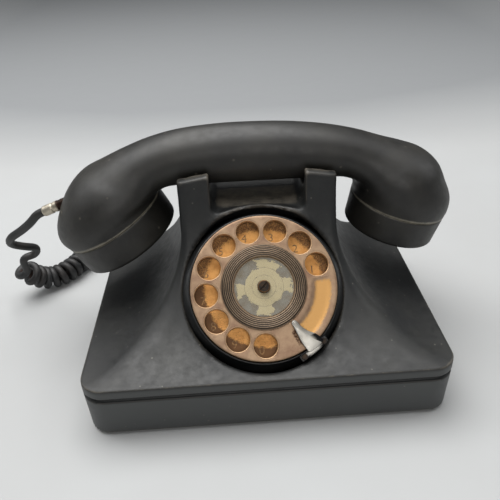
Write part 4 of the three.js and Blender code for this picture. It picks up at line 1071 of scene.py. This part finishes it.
def make_finger_stop():
    """Hooked blade over the wheel, its riser and the strip screwed to the collar."""
    blade = [
        (-15.4, -1), (-15.9, 0.4), (-14.9, 1.5), (-11, 1.9), (-7, 3.2), (-3.4, 5.4), (-0.3, 6.1),
        (1.4, 6.0), (1.4, -3.2), (-0.6, -3.4), (-4.6, -3.2), (-8.6, -2.4), (-12.4, -1.6)]
    border = spline(blade, 120, True)[::-1]
    shells = [
        plate_shell(border, 0.9, 2.1, 0.35),
        box_shell((0.0, 1.4), (-3.4, 4.4), (-2.2, 2.0)),
        box_shell((0.0, 3.8), (-8.7, 8.7), (-2.2, -1.0)),
    ]
    foot = np.concatenate([step_between(4.5, 5, np.abs(points[:, 1])) for points, _ in shells])
    angle = radians(STOP_ANGLE)
    turn = np.array([[cos(angle), sin(angle), 0], [-sin(angle), cos(angle), 0], [0, 0, 1]])
    placed = []
    for points, quads in shells:
        points = (points + [38.95, 0, 0]) @ turn
        placed.append(on_dial((points, quads)))
    finish_piece("finger_stop_blade", placed, "base", MATERIALS["nickel"], ("finger_stop",), 40,
                 {"foot": foot})


# ------------------------------------------------------------------ handset
TRANSMITTER = {"x": -74.6, "z": 65.4, "tilt": 28.3, "face": 30.7, "seam": 31.2, "depth": 17.8}
RECEIVER = {"x": 79.7, "z": 63.9, "tilt": -15.1, "face": 27.2, "seam": 28.4, "depth": 17.7}
STATIONS = [
    (-115.2, 72.6, -56.1, 98.2, 32), (-115.4, 80, -55.4, 99.2, 32), (-111.4, 91, -54.2, 100, 31),
    (-106, 100.6, -53, 100.5, 29), (-98, 109, -51.6, 100.8, 26), (-87, 114.8, -50.2, 100.9, 22.5),
    (-73.5, 121.2, -48.6, 100.9, 19.2), (-59, 126.8, -46, 100.8, 17.5), (-44, 130.6, -41, 100.7, 17),
    (-22, 132.9, -21, 100.7, 17), (0, 133.2, 0, 100.7, 17), (22, 132.1, 21, 100.7, 17), (44, 129, 41, 100.7, 17),
    (59.5, 125.2, 47, 100.8, 17.3), (73.5, 120.4, 50, 100.6, 18.8), (87, 116, 52.6, 100.1, 21.6),
    (97.5, 111.6, 54.6, 99.4, 24.6), (105, 105, 56, 98.4, 27), (109.8, 95.4, 57, 96.4, 28.6),
    (113.6, 86, 57.4, 93, 29.2), (113.4, 79, 57.5, 90.4, 29)]


def head_axes(head):
    """Middle of the seam and the directions along the head's axis and outwards across it."""
    tilt = radians(head["tilt"])
    up = np.array([-sin(tilt), 0, cos(tilt)])
    out = np.array([cos(tilt), 0, sin(tilt)]) * np.sign(head["x"])
    face = np.array([head["x"], HANDLE_Y, head["z"]])
    return face + up * (head["depth"] + 0.3), up, out


def seam_station(head):
    """The station of the handle that meets a cap: the two ends of its seam and its half width."""
    seam, _, out = head_axes(head)
    high, low = seam + head["seam"] * out, seam - head["seam"] * out
    return (high[0], high[2], low[0], low[2], head["seam"])


def make_handset():
    """Handle: ellipses through the stations, each from a top point to a low point with a half width,
    carried along a smooth curve through them all."""
    stations = spline([seam_station(TRANSMITTER), *STATIONS, seam_station(RECEIVER)], 260)
    around = 112
    angle = np.arange(around) / around * 2 * pi
    top_x, top_z, low_x, low_z, half = (column[:, None] for column in stations.T)
    share = np.cos(angle) / 2 + 0.5
    x = low_x + (top_x - low_x) * share
    z = low_z + (top_z - low_z) * share
    y = HANDLE_Y - half * np.sin(angle)
    rings = np.stack([x, y, z], -1)
    ends = [ring.mean(axis=1, keepdims=True).repeat(around, 1) for ring in (rings[:1], rings[-1:])]
    rings = np.concatenate([ends[0], rings, ends[1]])
    dust = np.zeros(len(rings))
    dust[1:4] = [0.62, 0.5, 0.2]
    dust[-4:-1] = [0.2, 0.5, 0.62]
    finish_piece("handset_handle_body", [(rings.reshape(-1, 3), grid_quads(len(rings), around, False, True))],
                 "handset", MATERIALS["handset"], ("handset_handle",), 45,
                 {"dust": np.repeat(dust, around)})
    make_cap("transmitter_cap_cup", "transmitter_cap", TRANSMITTER, ((0, 1), (7, 5), (14, 8)))
    make_cap("receiver_cap_cup", "receiver_cap", RECEIVER, ((0, 1), (6, 5)))
    carry("steel", "transmitter_capsule", "receiver_capsule")


def make_cap(name, node, head, holes):
    """Cap turned about the head's axis, its sound holes sunk where the distance to a hole's middle
    is under its radius."""
    low, r_face, r_seam = -0.3 - head["depth"], head["face"], head["seam"]
    outer = [(r_face - 5, low), (r_face - 1.4, low), (r_face, low + 1.4), (r_face + 0.4, low + 8), (r_seam, -0.3)]
    outer = rounded([(r_face * 0.62, low + 1.3), *outer, (r_seam - 3, -0.3)], 1.6, 5)
    dish = np.linspace(0, r_face * 0.62, 60)[:-1]
    dished = np.stack([dish, low + 2.6 - 1.3 * (dish / (r_face * 0.62)) ** 2], 1)
    inner = [(r_face - 3.2, low + 6), (r_face * 0.5, low + 6.4), (0, low + 6.6)]
    profile = np.concatenate([dished, outer, inner])
    segments = 168
    points, quads = turned(profile, segments)
    for radius, count in holes:
        for i in range(count):
            spot = radius * cos(2 * pi * i / count), radius * sin(2 * pi * i / count)
            near = np.hypot(points[:, 0] - spot[0], points[:, 1] - spot[1])
            face = points[:, 2] < low + 3
            points[:, 2] += np.where(face, 2.6 * step_between(1.75, 1.35, near), 0)
    dust = np.repeat(step_between(-1.4, -0.5, profile[:, 1]) * (profile[:, 0] > r_seam - 2) * 0.55, segments)
    seam, up, out = head_axes(head)
    side = np.cross(up, out)
    placed = seam + points[:, :1] * out + points[:, 1:2] * side + points[:, 2:] * up
    finish_piece(name, [(placed, quads)], "handset", MATERIALS["handset"], (node,), 42,
                 {"dust": dust})


def make_works():
    """Made finishes for the packed parts inside the housing, which keep their own shapes."""
    carry("steel", "hook_lever", "hook_bracket", "ringer_frame", "gong_nut_left", "gong_nut_right", "capacitor")
    carry("brass", "hook_contacts", "gong_left", "gong_right", "clapper")
    carry("winding", "ringer_coil_left", "ringer_coil_right", "induction_coil")
    carry("fibre", "terminal_block")


# ------------------------------------------------------------------ operators
def step_operator(name, label, text, work):
    """An operator class that runs one step of the work."""
    def execute(self, context):
        """Runs the step on this scene."""
        work(context)
        return {"FINISHED"}
    return type("TELEPHONE_OT_" + name, (bpy.types.Operator,), {
        "__doc__": text, "bl_idname": "telephone." + name, "bl_label": label,
        "bl_options": {"REGISTER", "UNDO"}, "execute": execute})


def cord_step(context):
    """Winds the cord and tells the frame where it leaves and how long it is."""
    cord, path = make_cord(context.scene.telephone_sizes)
    ferrule = make_ferrule()
    grommet = make_grommet("cord_grommet_bush", "cord_grommet", EXIT[0], 5)


STEPS = (
    ("materials", "Finishes", "Make every finish of the telephone",
     lambda c: make_materials(c.scene.telephone_colours)),
    ("camera", "Camera", "Place the camera in front of and above the dial", lambda c: make_camera()),
    ("cord", "Handset cord", "Wind the coiled cord and set its clamp and bush", cord_step),
    ("housing", "Housing", "Shape the flared housing with its horns and saddle", lambda c: make_housing()),
    ("base", "Base", "Turn the feet and the hook plungers", lambda c: make_base()),
    ("dial", "Dial surround", "Turn the collar and the number plate", lambda c: make_dial_surround()),
    ("wheel", "Finger wheel", "Press the finger wheel with its ten holes",
     lambda c: make_wheel(c.scene.telephone_sizes)),
    ("card", "Number card", "Set the card, its ring, window and screw",
     lambda c: make_card(c.scene.telephone_sizes)),
    ("stop", "Finger stop", "Cut the finger stop", lambda c: make_finger_stop()),
    ("handset", "Handset", "Carry the handle through its stations and turn the caps",
     lambda c: make_handset()),
    ("works", "Works", "Give the inner parts their finishes", lambda c: make_works()),
    ("stage", "Stage", "Lay the floor and hang the lamps", lambda c: make_stage()),
)
OPERATORS = [step_operator(*step) for step in STEPS]


class TELEPHONE_PT_panel(bpy.types.Panel):
    """Lists the sizes, the colours and the steps."""
    bl_idname = "TELEPHONE_PT_panel"
    bl_label = "Telephone"
    bl_space_type = "VIEW_3D"
    bl_region_type = "UI"
    bl_category = "Telephone"

    def draw(self, context):
        """One row for each setting, then one for each step."""
        for group in (context.scene.telephone_sizes, context.scene.telephone_colours):
            for name in group.__annotations__:
                self.layout.prop(group, name)
        for name, *_ in STEPS:
            self.layout.operator("telephone." + name)


CLASSES = (TelephoneSizes, TelephoneColours, *OPERATORS, TELEPHONE_PT_panel)


def register():
    """Adds the classes and the two groups of settings."""
    for cls in CLASSES:
        bpy.utils.register_class(cls)
    bpy.types.Scene.telephone_sizes = bpy.props.PointerProperty(type=TelephoneSizes)
    bpy.types.Scene.telephone_colours = bpy.props.PointerProperty(type=TelephoneColours)


def unregister():
    """Takes away what register added."""
    del bpy.types.Scene.telephone_colours
    del bpy.types.Scene.telephone_sizes
    for cls in reversed(CLASSES):
        bpy.utils.unregister_class(cls)


def main():
    """Runs every step in order, then writes the two boxes."""
    register()
    for name, *_ in STEPS:
        getattr(bpy.ops.telephone, name)()


if __name__ == "__main__":
    main()
